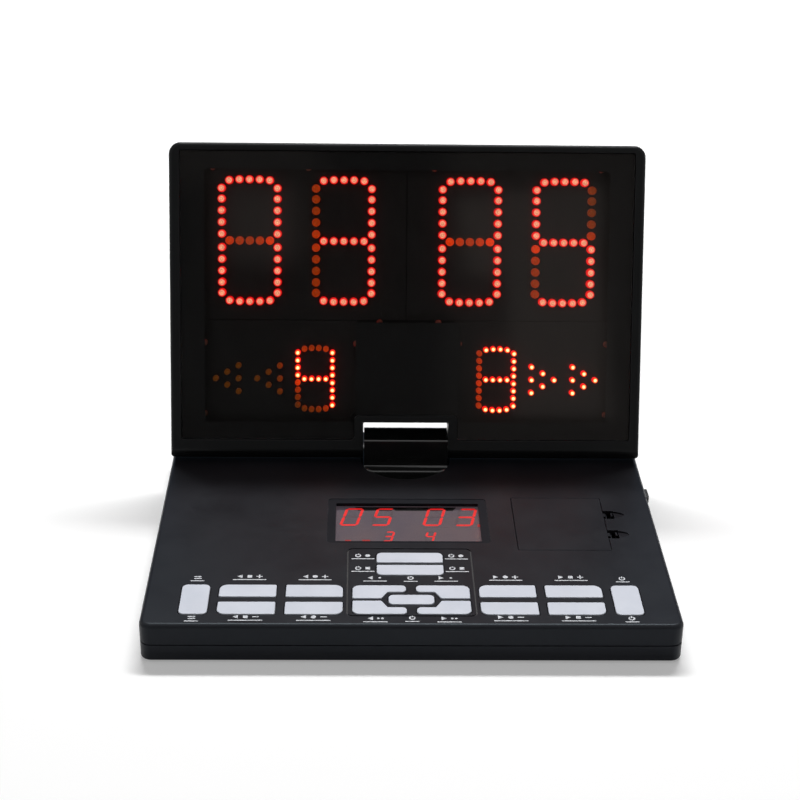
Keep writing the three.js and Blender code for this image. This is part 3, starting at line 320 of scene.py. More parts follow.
def make_camera():
    data = bpy.data.cameras.new("camera")
    data.lens = LENS
    data.sensor_width = SENSOR
    data.clip_start = NEAR_CLIP
    camera = bpy.data.objects.new("camera", data)
    ahead = Vector((math.sin(CAMERA_YAW) * math.cos(CAMERA_PITCH),
                    math.cos(CAMERA_YAW) * math.cos(CAMERA_PITCH), -math.sin(CAMERA_PITCH)))
    level = Vector((math.cos(CAMERA_YAW), -math.sin(CAMERA_YAW), 0))
    upright = level.cross(ahead)
    right = math.cos(CAMERA_ROLL) * level + math.sin(CAMERA_ROLL) * upright
    up = math.cos(CAMERA_ROLL) * upright - math.sin(CAMERA_ROLL) * level
    turn = Matrix((right, up, -ahead)).transposed().to_4x4()
    camera.matrix_world = Matrix.Translation(ON_BASE @ Vector(CAMERA_PLACE)) @ turn
    bpy.context.scene.collection.objects.link(camera)
    bpy.context.scene.camera = camera


# Node helpers
def add_node(tree, kind, **values):
    node = tree.nodes.new(kind)
    for key, value in values.items():
        setattr(node, key, value)
    return node


def give(tree, socket, value):
    """Links a socket to another one, or sets it to a plain value."""
    if isinstance(value, bpy.types.NodeSocket):
        tree.links.new(value, socket)
    else:
        socket.default_value = value


def feed(tree, node, **inputs):
    """Sets or links a node's inputs by name; underscores stand for spaces."""
    for key, value in inputs.items():
        give(tree, node.inputs[key.replace("_", " ")], value)
    return node


def node_tree(family, name, inputs, outputs):
    """A node group with its two end nodes; an input may come with a default."""
    tree = bpy.data.node_groups.new(name, family)
    for label, kind, *default in inputs:
        socket = tree.interface.new_socket(label, in_out="INPUT", socket_type="NodeSocket" + kind)
        if default:
            socket.default_value = default[0]
    for label, kind in outputs:
        tree.interface.new_socket(label, in_out="OUTPUT", socket_type="NodeSocket" + kind)
    return tree, add_node(tree, "NodeGroupInput"), add_node(tree, "NodeGroupOutput")


def math_node(tree, operation, first, second, clamp=False):
    node = add_node(tree, "ShaderNodeMath", operation=operation, use_clamp=clamp)
    give(tree, node.inputs[0], first)
    give(tree, node.inputs[1], second)
    return node.outputs[0]


def mix_colour(tree, factor, first, second):
    node = add_node(tree, "ShaderNodeMix", data_type="RGBA")
    for index, value in ((0, factor), (6, first), (7, second)):
        give(tree, node.inputs[index], value)
    return node.outputs[2]


def noise(tree, vector, scale, detail=3.0, roughness=0.5):
    node = add_node(tree, "ShaderNodeTexNoise")
    feed(tree, node, Vector=vector, Scale=scale, Detail=detail, Roughness=roughness)
    return node.outputs["Fac"]


def remap(tree, value, low, high, new_low=0.0, new_high=1.0):
    node = add_node(tree, "ShaderNodeMapRange", clamp=True)
    for socket, given in zip(node.inputs, (value, low, high, new_low, new_high)):
        give(tree, socket, given)
    return node.outputs[0]


# Effects shared by the finishes
def moulded_grain():
    """Fine spark-eroded texture of a moulded shell: a height, and a slow change of tone."""
    tree, given, out = node_tree(
        "ShaderNodeTree", "moulded_grain",
        [("Vector", "Vector"), ("Grain", "Float", 1800.0), ("Tone", "Float", 22.0)],
        [("Height", "Float"), ("Tone", "Float")])
    pits = add_node(tree, "ShaderNodeTexVoronoi", feature="SMOOTH_F1")
    feed(tree, pits, Vector=given.outputs["Vector"], Scale=given.outputs["Grain"])
    fine = noise(tree, given.outputs["Vector"], math_node(tree, "MULTIPLY", given.outputs["Grain"], 0.6), 2.0)
    height = math_node(tree, "ADD", math_node(tree, "MULTIPLY", pits.outputs["Distance"], 0.6), fine)
    slow = noise(tree, given.outputs["Vector"], given.outputs["Tone"], 4.0, 0.55)
    feed(tree, out, Height=height, Tone=remap(tree, slow, 0.35, 0.65))
    return tree


def edge_wear():
    """How far a point lies on a rubbed edge: the rounded normal leaves the true one there."""
    tree, given, out = node_tree(
        "ShaderNodeTree", "edge_wear",
        [("Vector", "Vector"), ("Reach", "Float", 0.0006), ("Patchiness", "Float", 160.0)],
        [("Mask", "Float")])
    rounded = add_node(tree, "ShaderNodeBevel", samples=4)
    feed(tree, rounded, Radius=given.outputs["Reach"])
    true = add_node(tree, "ShaderNodeNewGeometry")
    agree = add_node(tree, "ShaderNodeVectorMath", operation="DOT_PRODUCT")
    tree.links.new(rounded.outputs[0], agree.inputs[0])
    tree.links.new(true.outputs["Normal"], agree.inputs[1])
    edge = remap(tree, agree.outputs["Value"], 0.995, 0.90)
    cloud = noise(tree, given.outputs["Vector"], given.outputs["Patchiness"], 5.0, 0.6)
    patches = remap(tree, cloud, 0.38, 0.62)
    feed(tree, out, Mask=math_node(tree, "MULTIPLY", edge, patches, clamp=True))
    return tree


def settled_dust():
    """Specks and a thin film on faces that look up."""
    tree, given, out = node_tree(
        "ShaderNodeTree", "settled_dust",
        [("Vector", "Vector"), ("Amount", "Float", 0.3)],
        [("Mask", "Float")])
    true = add_node(tree, "ShaderNodeNewGeometry")
    split = add_node(tree, "ShaderNodeSeparateXYZ")
    tree.links.new(true.outputs["Normal"], split.inputs[0])
    upward = remap(tree, split.outputs["Z"], 0.2, 0.95)
    film = remap(tree, noise(tree, given.outputs["Vector"], 35.0, 6.0, 0.62), 0.42, 0.75)
    cells = add_node(tree, "ShaderNodeTexVoronoi", feature="F1")
    feed(tree, cells, Vector=given.outputs["Vector"], Scale=260.0)
    specks = remap(tree, cells.outputs["Distance"], 0.10, 0.05)
    both = math_node(tree, "ADD", math_node(tree, "MULTIPLY", film, 0.35), specks, clamp=True)
    amount = math_node(tree, "MULTIPLY", both, given.outputs["Amount"])
    feed(tree, out, Mask=math_node(tree, "MULTIPLY", amount, upward, clamp=True))
    return tree


def smudges():
    """Handled patches that change the gloss, and fine hairline scratches."""
    tree, given, out = node_tree(
        "ShaderNodeTree", "smudges",
        [("Vector", "Vector"), ("Scale", "Float", 30.0), ("Scratch", "Float", 0.3)],
        [("Mask", "Float"), ("Height", "Float")])
    cloud = remap(tree, noise(tree, given.outputs["Vector"], given.outputs["Scale"], 5.0, 0.6), 0.40, 0.68)
    stretch = add_node(tree, "ShaderNodeMapping")
    feed(tree, stretch, Vector=given.outputs["Vector"], Rotation=(0.2, 0.35, 0.6), Scale=(40, 900, 900))
    lines = remap(tree, noise(tree, stretch.outputs[0], 1.0, 2.0, 0.4), 0.66, 0.74)
    scratch = math_node(tree, "MULTIPLY", lines, given.outputs["Scratch"])
    handled = math_node(tree, "ADD", math_node(tree, "MULTIPLY", cloud, 0.7), scratch, clamp=True)
    feed(tree, out, Mask=handled, Height=scratch)
    return tree


GRAIN = moulded_grain()
WEAR = edge_wear()
DUST = settled_dust()
SMUDGES = smudges()


class Finish:
    """One material under construction, with its Principled shader and object coordinates."""

    def __init__(self, name, **constants):
        self.material = bpy.data.materials.new(name)
        self.material.use_nodes = True
        self.tree = self.material.node_tree
        self.shader = self.tree.nodes["Principled BSDF"]
        self.place = add_node(self.tree, "ShaderNodeTexCoord").outputs["Object"]
        for key, value in constants.items():
            self.shader.inputs[key.replace("_", " ")].default_value = value

    def effect(self, group, **inputs):
        node = add_node(self.tree, "ShaderNodeGroup", node_tree=group)
        return feed(self.tree, node, Vector=self.place, **inputs).outputs

    def set(self, **inputs):
        feed(self.tree, self.shader, **inputs)
        return self

    def bump(self, height, distance, strength=1.0):
        node = add_node(self.tree, "ShaderNodeBump")
        feed(self.tree, node, Height=height, Distance=distance, Strength=strength)
        return self.set(Normal=node.outputs[0])


def rgba(red, green, blue):
    return (red, green, blue, 1.0)


def shade(colour, share):
    """A darker shade of a colour."""
    return rgba(*[part * share for part in colour[:3]])


# Finishes; their reliefs and worn edges are in metres
CASE_GRAIN = 1800.0
CASE_RELIEF = 0.00003
CASE_EDGE = 0.0005
FINE_RELIEF = 0.00002
FINE_EDGE = 0.0004
INK_RELIEF = 0.00001
PANE_RELIEF = 0.000001
STEEL_RELIEF = 0.00001
WRAP_RELIEF = 0.000005
DUST_GREY = rgba(0.16, 0.165, 0.17)


def moulded_case(name, dark, light, roughness, dust, wear, wear_colour, gloss, sheen):
    """Grained case plastic with rubbed edges, a little dust and handled patches."""
    finish = Finish(name, Specular_IOR_Level=gloss, Specular_Tint=sheen)
    texture = finish.effect(GRAIN, Grain=CASE_GRAIN, Tone=20.0)
    worn = finish.effect(WEAR, Reach=CASE_EDGE)["Mask"]
    dusty = finish.effect(DUST, Amount=dust)["Mask"]
    handled = finish.effect(SMUDGES, Scale=26.0, Scratch=0.25)
    tree = finish.tree
    colour = mix_colour(tree, texture["Tone"], dark, light)
    colour = mix_colour(tree, math_node(tree, "MULTIPLY", worn, wear), colour, wear_colour)
    colour = mix_colour(tree, dusty, colour, DUST_GREY)
    rough = remap(tree, handled["Mask"], 0.0, 1.0, roughness, roughness - 0.1)
    rough = math_node(tree, "ADD", rough, math_node(tree, "MULTIPLY", dusty, 0.3), clamp=True)
    finish.set(Base_Color=colour, Roughness=rough)
    return finish.bump(texture["Height"], CASE_RELIEF, 0.5).material


def hinge_finish(name, gloss):
    """Polished black plastic."""
    finish = Finish(name, Specular_IOR_Level=gloss)
    handled = finish.effect(SMUDGES, Scale=60.0, Scratch=0.5)
    worn = finish.effect(WEAR, Reach=FINE_EDGE)["Mask"]
    tree = finish.tree
    dark, light = rgba(0.0010, 0.0012, 0.0011), rgba(0.0018, 0.0020, 0.0019)
    colour = mix_colour(tree, handled["Mask"], dark, light)
    colour = mix_colour(tree, math_node(tree, "MULTIPLY", worn, 0.3), colour, rgba(0.03, 0.03, 0.032))
    finish.set(Base_Color=colour, Roughness=remap(tree, handled["Mask"], 0.0, 1.0, 0.16, 0.30))
    return finish.bump(handled["Height"], FINE_RELIEF, 0.3).material


# Painted shade in the gap round a key: the colour darkens between these heights
GAP_SHADE_TOP = 22.5
GAP_SHADE_FOOT = 21.6


def key_finish():
    """Pale key plastic, with painted shade down in the gap round each key."""
    finish = Finish("key_plastic")
    texture = finish.effect(GRAIN, Grain=2600.0, Tone=45.0)
    handled = finish.effect(SMUDGES, Scale=70.0, Scratch=0.1)
    worn = finish.effect(WEAR, Reach=FINE_EDGE)["Mask"]
    tree = finish.tree
    colour = mix_colour(tree, texture["Tone"], rgba(0.585, 0.62, 0.70), rgba(0.645, 0.675, 0.75))
    touched = math_node(tree, "MULTIPLY", handled["Mask"], 0.12)
    rubbed = math_node(tree, "MULTIPLY", worn, 0.15)
    colour = mix_colour(tree, touched, colour, rgba(0.52, 0.53, 0.56))
    colour = mix_colour(tree, rubbed, colour, rgba(0.80, 0.82, 0.86))
    level = add_node(tree, "ShaderNodeSeparateXYZ")
    tree.links.new(finish.place, level.inputs[0])
    # Painted shade: below the deck the colour runs dark in the gap round the key
    gap_shade = remap(tree, level.outputs["Z"], GAP_SHADE_TOP * MM, GAP_SHADE_FOOT * MM)
    colour = mix_colour(tree, gap_shade, colour, rgba(0.012, 0.012, 0.014))
    finish.set(Base_Color=colour, Roughness=remap(tree, handled["Mask"], 0.0, 1.0, 0.50, 0.40))
    return finish.bump(texture["Height"], FINE_RELIEF, 0.4).material


def ink_finish(name, colour, darker, roughness):
    """Screen-printed ink with a slightly broken cover."""
    finish = Finish(name)
    tree = finish.tree
    cover = remap(tree, noise(tree, finish.place, 900.0, 4.0, 0.6), 0.36, 0.56)
    finish.set(Base_Color=mix_colour(tree, cover, darker, colour),
               Roughness=remap(tree, cover, 0.0, 1.0, roughness + 0.12, roughness))
    return finish.bump(cover, INK_RELIEF, 0.4).material


def smoked_finish(name, tint, alpha, specular):
    """Polished smoked sheet: dark, see-through, with faint dust and hairlines."""
    finish = Finish(name, Specular_IOR_Level=specular)
    handled = finish.effect(SMUDGES, Scale=18.0, Scratch=0.2)
    dusty = finish.effect(DUST, Amount=0.05)["Mask"]
    tree = finish.tree
    colour = mix_colour(tree, dusty, tint, rgba(0.2, 0.2, 0.2))
    finish.set(Base_Color=colour, Roughness=remap(tree, handled["Mask"], 0.0, 1.0, 0.045, 0.10),
               Alpha=remap(tree, handled["Mask"], 0.0, 1.0, alpha, alpha + 0.02))
    return finish.bump(handled["Height"], PANE_RELIEF, 0.1).material


LAMP_DIM = 0.62  # the darkest grain of a lamp, as a share


def lamp_finish(name, bands, strength, shell, resting_painted_glow=(0, 0, 0)):
    """A lamp's light in bands from its rim to its tip; each lamp's own level comes with it."""
    finish = Finish(name, Roughness=0.35, Specular_IOR_Level=0.2)
    tree = finish.tree
    tip = add_node(tree, "ShaderNodeAttribute", attribute_name="tip").outputs["Fac"]
    level = add_node(tree, "ShaderNodeAttribute", attribute_name="level").outputs["Fac"]
    grain = remap(tree, noise(tree, finish.place, 1100.0, 2.0), 0.36, 0.64, LAMP_DIM, 1.0)
    ramp = add_node(tree, "ShaderNodeValToRGB")
    tree.links.new(tip, ramp.inputs[0])
    stops = ramp.color_ramp.elements
    while len(stops) < len(bands):
        stops.new(0.5)
    for stop, (position, colour) in zip(stops, bands):
        stop.position = position
        stop.color = rgba(*colour)
    power = math_node(tree, "MULTIPLY", math_node(tree, "MULTIPLY", level, grain), strength)
    scaled = add_node(tree, "ShaderNodeVectorMath", operation="SCALE")
    tree.links.new(ramp.outputs[0], scaled.inputs[0])
    tree.links.new(power, scaled.inputs["Scale"])
    summed = add_node(tree, "ShaderNodeVectorMath", operation="ADD")
    tree.links.new(scaled.outputs[0], summed.inputs[0])
    # Painted glow of an unlit lamp, the same at any level
    summed.inputs[1].default_value = resting_painted_glow
    finish.set(Base_Color=mix_colour(tree, grain, shade(shell, 0.7), shell),
               Emission_Color=summed.outputs[0], Emission_Strength=1.0)
    return finish.material


def plain_finish(name, dark, light, roughness, scale=120.0, relief=FINE_RELIEF, metallic=0.0, painted_glow=0.0):
    """Two close tones with fine relief, for pieces inside the case and for rubber and metal."""
    finish = Finish(name, Metallic=metallic)
    texture = finish.effect(GRAIN, Grain=1500.0, Tone=scale)
    handled = finish.effect(SMUDGES, Scale=50.0, Scratch=0.4)
    tree = finish.tree
    colour = mix_colour(tree, texture["Tone"], dark, light)
    rough = remap(tree, handled["Mask"], 0.0, 1.0, roughness + 0.06, roughness - 0.06)
    finish.set(Base_Color=colour, Roughness=rough)
    # Painted light: an even glow added to the colour
    if painted_glow:
        finish.set(Emission_Color=colour, Emission_Strength=painted_glow)
    return finish.bump(texture["Height"], relief, 0.4).material


def board_finish(name, mask, copper):
    """Solder mask with faint tracks under it."""
    finish = Finish(name)
    tree = finish.tree
    tracks = add_node(tree, "ShaderNodeTexBrick", offset=0.5, squash=1.0)
    feed(tree, tracks, Vector=finish.place, Scale=160.0, Mortar_Size=0.035,
         Color1=rgba(0, 0, 0), Color2=rgba(0, 0, 0), Mortar=rgba(1, 1, 1))
    tone = remap(tree, noise(tree, finish.place, 60.0, 3.0), 0.35, 0.65)
    colour = mix_colour(tree, math_node(tree, "MULTIPLY", tracks.outputs["Color"], 0.6), mask, copper)
    colour = mix_colour(tree, math_node(tree, "MULTIPLY", tone, 0.3), colour, shade(mask, 0.6))
    finish.set(Base_Color=colour, Roughness=remap(tree, tone, 0.0, 1.0, 0.38, 0.5))
    return finish.bump(tracks.outputs["Color"], FINE_RELIEF, 0.3).material


def segment_finish(name, light, strength, shell):
    """A digit's bar of light behind its diffuser."""
    finish = Finish(name, Roughness=0.4)
    tree = finish.tree
    grain = remap(tree, noise(tree, finish.place, 500.0, 3.0), 0.3, 0.7, 0.75, 1.0)
    scaled = add_node(tree, "ShaderNodeVectorMath", operation="SCALE")
    give(tree, scaled.inputs[0], light)
    give(tree, scaled.inputs["Scale"], grain)
    finish.set(Base_Color=mix_colour(tree, grain, shade(shell, 0.7), shell),
               Emission_Color=scaled.outputs[0], Emission_Strength=strength)
    return finish.material


# Materials
CASE_GLOSS = 0.16
LID_GLOSS = 0.11
CASE_SHEEN = (0.70, 0.88, 1.0, 1.0)
LID_SHEEN = (0.94, 0.97, 1.0, 1.0)
case_black = moulded_case("case_plastic", rgba(0.0082, 0.0071, 0.0088), rgba(0.0110, 0.0095, 0.0116),
                          0.40, 0.04, 0.35, rgba(0.045, 0.050, 0.060), CASE_GLOSS, CASE_SHEEN)
lid_black = moulded_case("lid_plastic", rgba(0.0046, 0.0047, 0.0048), rgba(0.0062, 0.0064, 0.0066),
                         0.38, 0.04, 0.35, rgba(0.040, 0.042, 0.046), LID_GLOSS, LID_SHEEN)
# Bluish grey with little gloss for the skin on the recess slopes: painted shade
slope_shade_black = moulded_case("slope_shade_plastic", rgba(0.0120, 0.0122, 0.0150), rgba(0.0150, 0.0152, 0.0185),
                           0.45, 0.03, 0.2, rgba(0.040, 0.044, 0.052), 0.04, CASE_SHEEN)
hinge_black = hinge_finish("hinge_gloss", 0.5)
disc_black = hinge_finish("disc_gloss", 0.15)
key_grey = key_finish()
print_white = ink_finish("print_white", rgba(0.72, 0.74, 0.78), rgba(0.40, 0.42, 0.45), 0.5)
# Black ink for the window's print; the same black also paints shade in the panel groove and a reflection in the
# operator window
print_and_painted_shade_black = ink_finish("print_and_painted_shade_black", rgba(0.0030, 0.0030, 0.0032), rgba(0.0042, 0.0042, 0.0045), 0.6)
lid_smoke = smoked_finish("lid_smoke", rgba(0.0022, 0.0018, 0.0018), 0.40, 0.5)
operator_smoke = smoked_finish("operator_smoke", rgba(0.0050, 0.0030, 0.0036), 0.22, 0.5)
LARGE_BANDS = [(0.34, (0.80, 0.003, 0.004)), (0.62, (0.96, 0.012, 0.010)), (0.74, (0.98, 0.24, 0.14)),
               (0.87, (1.0, 0.44, 0.28)), (0.93, (0.88, 0.20, 0.12)), (0.97, (1.0, 0.52, 0.24))]
SMALL_BANDS = [(0.45, (0.75, 0.004, 0.004)), (0.66, (1.0, 0.03, 0.006)), (0.80, (1.0, 0.50, 0.08)),
               (0.95, (1.0, 0.92, 0.48))]
# Unlit lamps: a steady painted glow for the room light on their shells, and painted red bands for the light of lit
# lamps near them
DARK_BANDS = [(0.2, (0.85, 0.012, 0.0)), (0.9, (1.0, 0.030, 0.0))]
UNLIT_PAINTED_GLOW = (0.135, 0.038, 0.003)
LIT_SHELL = rgba(0.30, 0.03, 0.02)
DARK_SHELL = rgba(0.36, 0.12, 0.015)
lamp_large = lamp_finish("lamp_large_lit", LARGE_BANDS, 1.04, LIT_SHELL)
lamp_small = lamp_finish("lamp_small_lit", SMALL_BANDS, 1.7, LIT_SHELL)
lamp_dark = lamp_finish("lamp_unlit", DARK_BANDS, 1.0, DARK_SHELL, UNLIT_PAINTED_GLOW)
SEGMENT_RED = (1.0, 0.016, 0.018)
SEGMENT_ROSE = (1.0, 0.76, 0.86)
segment_lit = segment_finish("segment_lit", SEGMENT_RED, 1.25, rgba(0.5, 0.05, 0.04))
segment_dim = segment_finish("segment_dim", SEGMENT_RED, 0.5, rgba(0.4, 0.06, 0.05))
# Unlit bars glow faintly rose: painted light for the room light on them
segment_unlit_painted_glow = segment_finish("segment_unlit_painted_glow", SEGMENT_ROSE, 0.075, rgba(0.16, 0.115, 0.13))
lamp_board = board_finish("lamp_board", rgba(0.0065, 0.0060, 0.0050), rgba(0.0110, 0.0100, 0.0080))
circuit_board = board_finish("circuit_board", rgba(0.015, 0.055, 0.026), rgba(0.05, 0.12, 0.05))
rubber_dark = plain_finish("rubber_dark", rgba(0.012, 0.012, 0.013), rgba(0.02, 0.02, 0.021), 0.82)
rubber_mat = plain_finish("rubber_mat", rgba(0.28, 0.31, 0.33), rgba(0.34, 0.37, 0.39), 0.75)
steel_plated = plain_finish("steel_plated", rgba(0.50, 0.51, 0.52), rgba(0.60, 0.61, 0.62), 0.28, 300.0,
                            STEEL_RELIEF, 1.0)
cell_wrap = plain_finish("cell_wrap", rgba(0.045, 0.11, 0.26), rgba(0.06, 0.14, 0.31), 0.3, 90.0,
                         WRAP_RELIEF)
plastic_white = plain_finish("plastic_white", rgba(0.56, 0.56, 0.53), rgba(0.63, 0.63, 0.60), 0.45)
copper_pads = plain_finish("copper_pads", rgba(0.56, 0.21, 0.12), rgba(0.66, 0.28, 0.17), 0.4, 400.0)
switch_black = plain_finish("switch_black", rgba(0.010, 0.010, 0.011), rgba(0.015, 0.015, 0.016), 0.5)
# The module sheet and blocks glow a little: painted light that lifts the shadow of the recess's rear edge
module_grey = plain_finish("module_grey", rgba(0.125, 0.100, 0.125), rgba(0.165, 0.118, 0.130), 0.5, 30.0,
                           painted_glow=0.55)

NODE_FINISH = {
    "case_black": case_black, "hinge_black": hinge_black, "key_grey": key_grey,
    "window_smoke": lid_smoke, "lamp_board": lamp_board, "circuit_board": circuit_board,
    "rubber_dark": rubber_dark, "rubber_mat": rubber_mat, "steel_plated": steel_plated,
    "cell_wrap": cell_wrap, "plastic_white": plastic_white, "switch_black": switch_black,
}


def dress_frame():
    """Every carried-over solid takes its slot's finish."""
    for entry in frame["record"]["subparts"]:
        thing = nodes[entry["node"]]
        for socket in thing.material_slots:
            socket.material = NODE_FINISH[entry["material_slot"]]


# Keys; rows are measured from the case's front edge
KEY_TOP = 23.1
KEY_ROUND = 0.45
KEY_ANGLE = 35
KEY_FLANGE = 0.8
FLANGE_TOP = 20.2
FLANGE_LOW = 19.3
KEY_GAP = 0.45
KEY_CORNER = 1
KEY_SWEEP = 4.5
ROW_MIDDLE = 23.9
ROW_GAP = 4.7
ROW_DEPTH = 11.6
COLUMN_GAP = 4.95
SIDE_MARGIN = 19.5
TALL_WIDTH = 14.7
TALL_DEPTH = 27.9
TALL_CORNER = 3
SERVE_REACH = 30.9
SERVE_INNER = 2.6
SERVE_DEPTH = 12.5
SERVE_GAP = 2.2
SERVE_CORNER = 4
SERVE_END = 2.5
NOTCH_RISE = 7.2
NOTCH_OUT = 12.5
NOTCH_SLANT = 3.2
CENTRE_REACH = 12
CENTRE_DEPTH = 9
CENTRE_CORNER = 2.8
RESET_REACH = 18
RESET_MIDDLE = 59.1
RESET_DEPTH = 10.05
RESET_GAP = 2.4
RESET_CORNER = 3
ROW_Y = -FRONT_REACH + ROW_MIDDLE
RESET_Y = -FRONT_REACH + RESET_MIDDLE


def side_keys():
    """The tall end keys and two columns of two keys on each side, each with one wide corner."""
    tall_outer = CASE_REACH - SIDE_MARGIN
    tall_inner = tall_outer - TALL_WIDTH
    width = (tall_inner - SERVE_REACH - 3 * COLUMN_GAP) / 2
    point = SERVE_REACH + COLUMN_GAP
    game = point + width + COLUMN_GAP
    upper = (ROW_Y + ROW_GAP / 2, ROW_Y + ROW_GAP / 2 + ROW_DEPTH)
    lower = (ROW_Y - ROW_GAP / 2 - ROW_DEPTH, ROW_Y - ROW_GAP / 2)
    c, s = KEY_CORNER, KEY_SWEEP
    tall = rectangle(tall_inner, ROW_Y - TALL_DEPTH / 2, tall_outer, ROW_Y + TALL_DEPTH / 2, TALL_CORNER)
    columns = {
        "point_up": rectangle(point, upper[0], point + width, upper[1], (c, c, c, s)),
        "point_down": rectangle(point, lower[0], point + width, lower[1], (s, c, c, c)),
        "game_up": rectangle(game, upper[0], game + width, upper[1], (c, c, s, c)),
        "game_down": rectangle(game, lower[0], game + width, lower[1], (c, s, c, c)),
    }
    keys = {"key_change": mirrored(tall), "key_power": tall}
    for name, corners in columns.items():
        keys[f"key_left_{name}"] = mirrored(corners)
        keys[f"key_right_{name}"] = corners
    return keys


def serve_keys():
    """Four keys round a middle one."""
    inside = SERVE_GAP / 2
    upper = [
        (SERVE_INNER, ROW_Y + NOTCH_RISE, SERVE_END),
        (NOTCH_OUT, ROW_Y + NOTCH_RISE, KEY_CORNER),
        (NOTCH_OUT + NOTCH_SLANT, ROW_Y + inside, KEY_CORNER),
        (SERVE_REACH, ROW_Y + inside, KEY_CORNER),
        (SERVE_REACH, ROW_Y + inside + SERVE_DEPTH, SERVE_CORNER),
        (SERVE_INNER, ROW_Y + inside + SERVE_DEPTH, SERVE_END),
    ]
    lower = [(x, 2 * ROW_Y - y, radius) for x, y, radius in reversed(upper)]
    half = CENTRE_DEPTH / 2
    centre = rectangle(-CENTRE_REACH, ROW_Y - half, CENTRE_REACH, ROW_Y + half, CENTRE_CORNER)
    return {
        "key_serve_reset": centre,
        "key_serve_left_first": mirrored(upper), "key_serve_left_second": mirrored(lower),
        "key_serve_right_first": upper, "key_serve_right_second": lower,
    }


def reset_keys():
    """Two long keys, one above the other."""
    near, far = RESET_GAP / 2, RESET_GAP / 2 + RESET_DEPTH
    c, r = KEY_CORNER, RESET_CORNER
    return {
        "key_reset_points": rectangle(-RESET_REACH, RESET_Y + near, RESET_REACH, RESET_Y + far, (c, c, r, r)),
        "key_reset_games": rectangle(-RESET_REACH, RESET_Y - far, RESET_REACH, RESET_Y - near, (r, r, c, c)),
    }


KEYS = {**reset_keys(), **serve_keys(), **side_keys()}


def key_cap(corners):
    """A cap with a rounded top edge and a flange under the deck."""
    layers = [(outline(corners, KEY_FLANGE), FLANGE_LOW), (outline(corners, KEY_FLANGE), FLANGE_TOP),
              (outline(corners), FLANGE_TOP)]
    for step in range(EDGE_STEPS + 1):
        angle = step / EDGE_STEPS * math.pi / 2
        height = KEY_TOP - KEY_ROUND * (1 - math.sin(angle))
        layers.append((outline(corners, -KEY_ROUND * (1 - math.cos(angle))), height))
    return loft(layers)


def make_keys():
    for name, corners in KEYS.items():
        piece(name + "_cap", key_cap(corners), ON_BASE, name, key_grey, [name], KEY_ANGLE)


# Base shells
RECESS = rectangle(-45.4, -98.8, 45.4, -49.8, 2.5)
OPERATOR_WINDOW = rectangle(-40.9, -96.5, 40.9, -54.5, 0.6)
RECESS_DEPTH = 1.9
RECESS_STEP = 0.3  # the steep step above the recess's slopes
DOOR_RIGHT = 111.5
DOOR_MIDDLE = (85.85, -77.05)
DOOR_SIZE = (51.3, 57.3)
DOOR_CORNER = 1
DOOR_GAP = 0.25
LATCH_SHARES = (0.332, 0.705)  # of the door's depth, from its rear edge
LATCH_SLOT = (9, 6.2)
SCOOP_REACH = 12
SCOOP_LAP = 0.01
SLOT_PLAY = 0.02
FINGER_HALF = 1.7
FINGER_SHIFT = 1.5
FINGER_THICKNESS = 1.1
FINGER_LOW = 16.5
FINGER_ROOM = 0.6
FINGER_SUNK = 0.7
FINGER_LIP = 0.3
FINGER_BEND = 0.8
FINGER_INNER_BEND = 0.5
FINGER_TIP = 0.2
SEAT_GAP = 0.1
SCOOP_DEPTH = 1.05
SCOOP_RUNOUT = 0.15
PANEL = rectangle(-34, -171.3, 34, -104.6, 3.5)
PANEL_LINE = 0.8
PANEL_DEPTH = 0.6
# A dark strip in the groove round the middle keys paints the groove's shade
GROOVE_SHADE_PLAY = 0.05
GROOVE_SHADE_SUNK = 0.2
GROOVE_SHADE_RISE = 0.1
# The skin of painted shade on the recess slopes
SLOPE_SHADE_PLAY = 0.02
SLOPE_SHADE_SKIN = 0.08
SLOPE_SHADE_LIP = 0.14
DISC_RADIUS = 27
DISC_GAP = 0.3
DISC_FLOOR = 21.3
SPINDLE_HOLE = 11
SWITCH_Z = 16
SWITCH_PLACE = -34
STEM_LENGTH = 4
SWITCH_TRAVEL = 4
STEM_HALF = 1.1
SWITCH_GAP = 0.3
CORNER_SCREW = 12
CORNER_FOOT = 26
FOOT_RADIUS = 6.5
FOOT_HEIGHT = 1.8
FOOT_SIDES = 48
SCREW_HEAD = 3
SCREW_SEAT = 3.2
SHANK = 1.2
SHANK_ROOM = 0.5
BOSS = 3.5
PILOT = 1.4
PILOT_SIDES = 16
PILOT_TOP = 16.7
COLLAR = 13.5
COLLAR_HEIGHT = 6.4
COLLAR_SIDES = 64
INLET_X = -90
INLET_Z = 6.6
INLET_RADIUS = 3.5

BASE = rectangle(-CASE_REACH, -FRONT_REACH, CASE_REACH, REAR_REACH, BASE_CORNER)
DOOR_HALF = [side / 2 for side in DOOR_SIZE]
DOOR = rectangle(DOOR_MIDDLE[0] - DOOR_HALF[0], DOOR_MIDDLE[1] - DOOR_HALF[1],
                 DOOR_MIDDLE[0] + DOOR_HALF[0], DOOR_MIDDLE[1] + DOOR_HALF[1], DOOR_CORNER)
LATCHES = [DOOR_MIDDLE[1] + DOOR_SIZE[1] * (0.5 - share) for share in LATCH_SHARES]
CORNER_NAMES = ("front_left", "rear_left", "front_right", "rear_right")


def rounded_layers(corners, seam, face, radius):
    """Layers from a seam to a face with a rounded edge, lowest first."""
    direction = math.copysign(1, face - seam)
    layers = [(outline(corners), seam)]
    for step in range(EDGE_STEPS + 1):
        angle = step / EDGE_STEPS * math.pi / 2
        height = face - direction * radius * (1 - math.sin(angle))
        layers.append((outline(corners, -radius * (1 - math.cos(angle))), height))
    return layers if direction > 0 else layers[::-1]


def opening(corners, gap, low, top):
    """A hole's cutter with a broken edge at the surface."""
    hole, mouth = outline(corners, gap), outline(corners, gap + RIM_CHAMFER)
    return loft([(hole, low), (hole, top - RIM_CHAMFER), (mouth, top), (mouth, top + OVERRUN)])


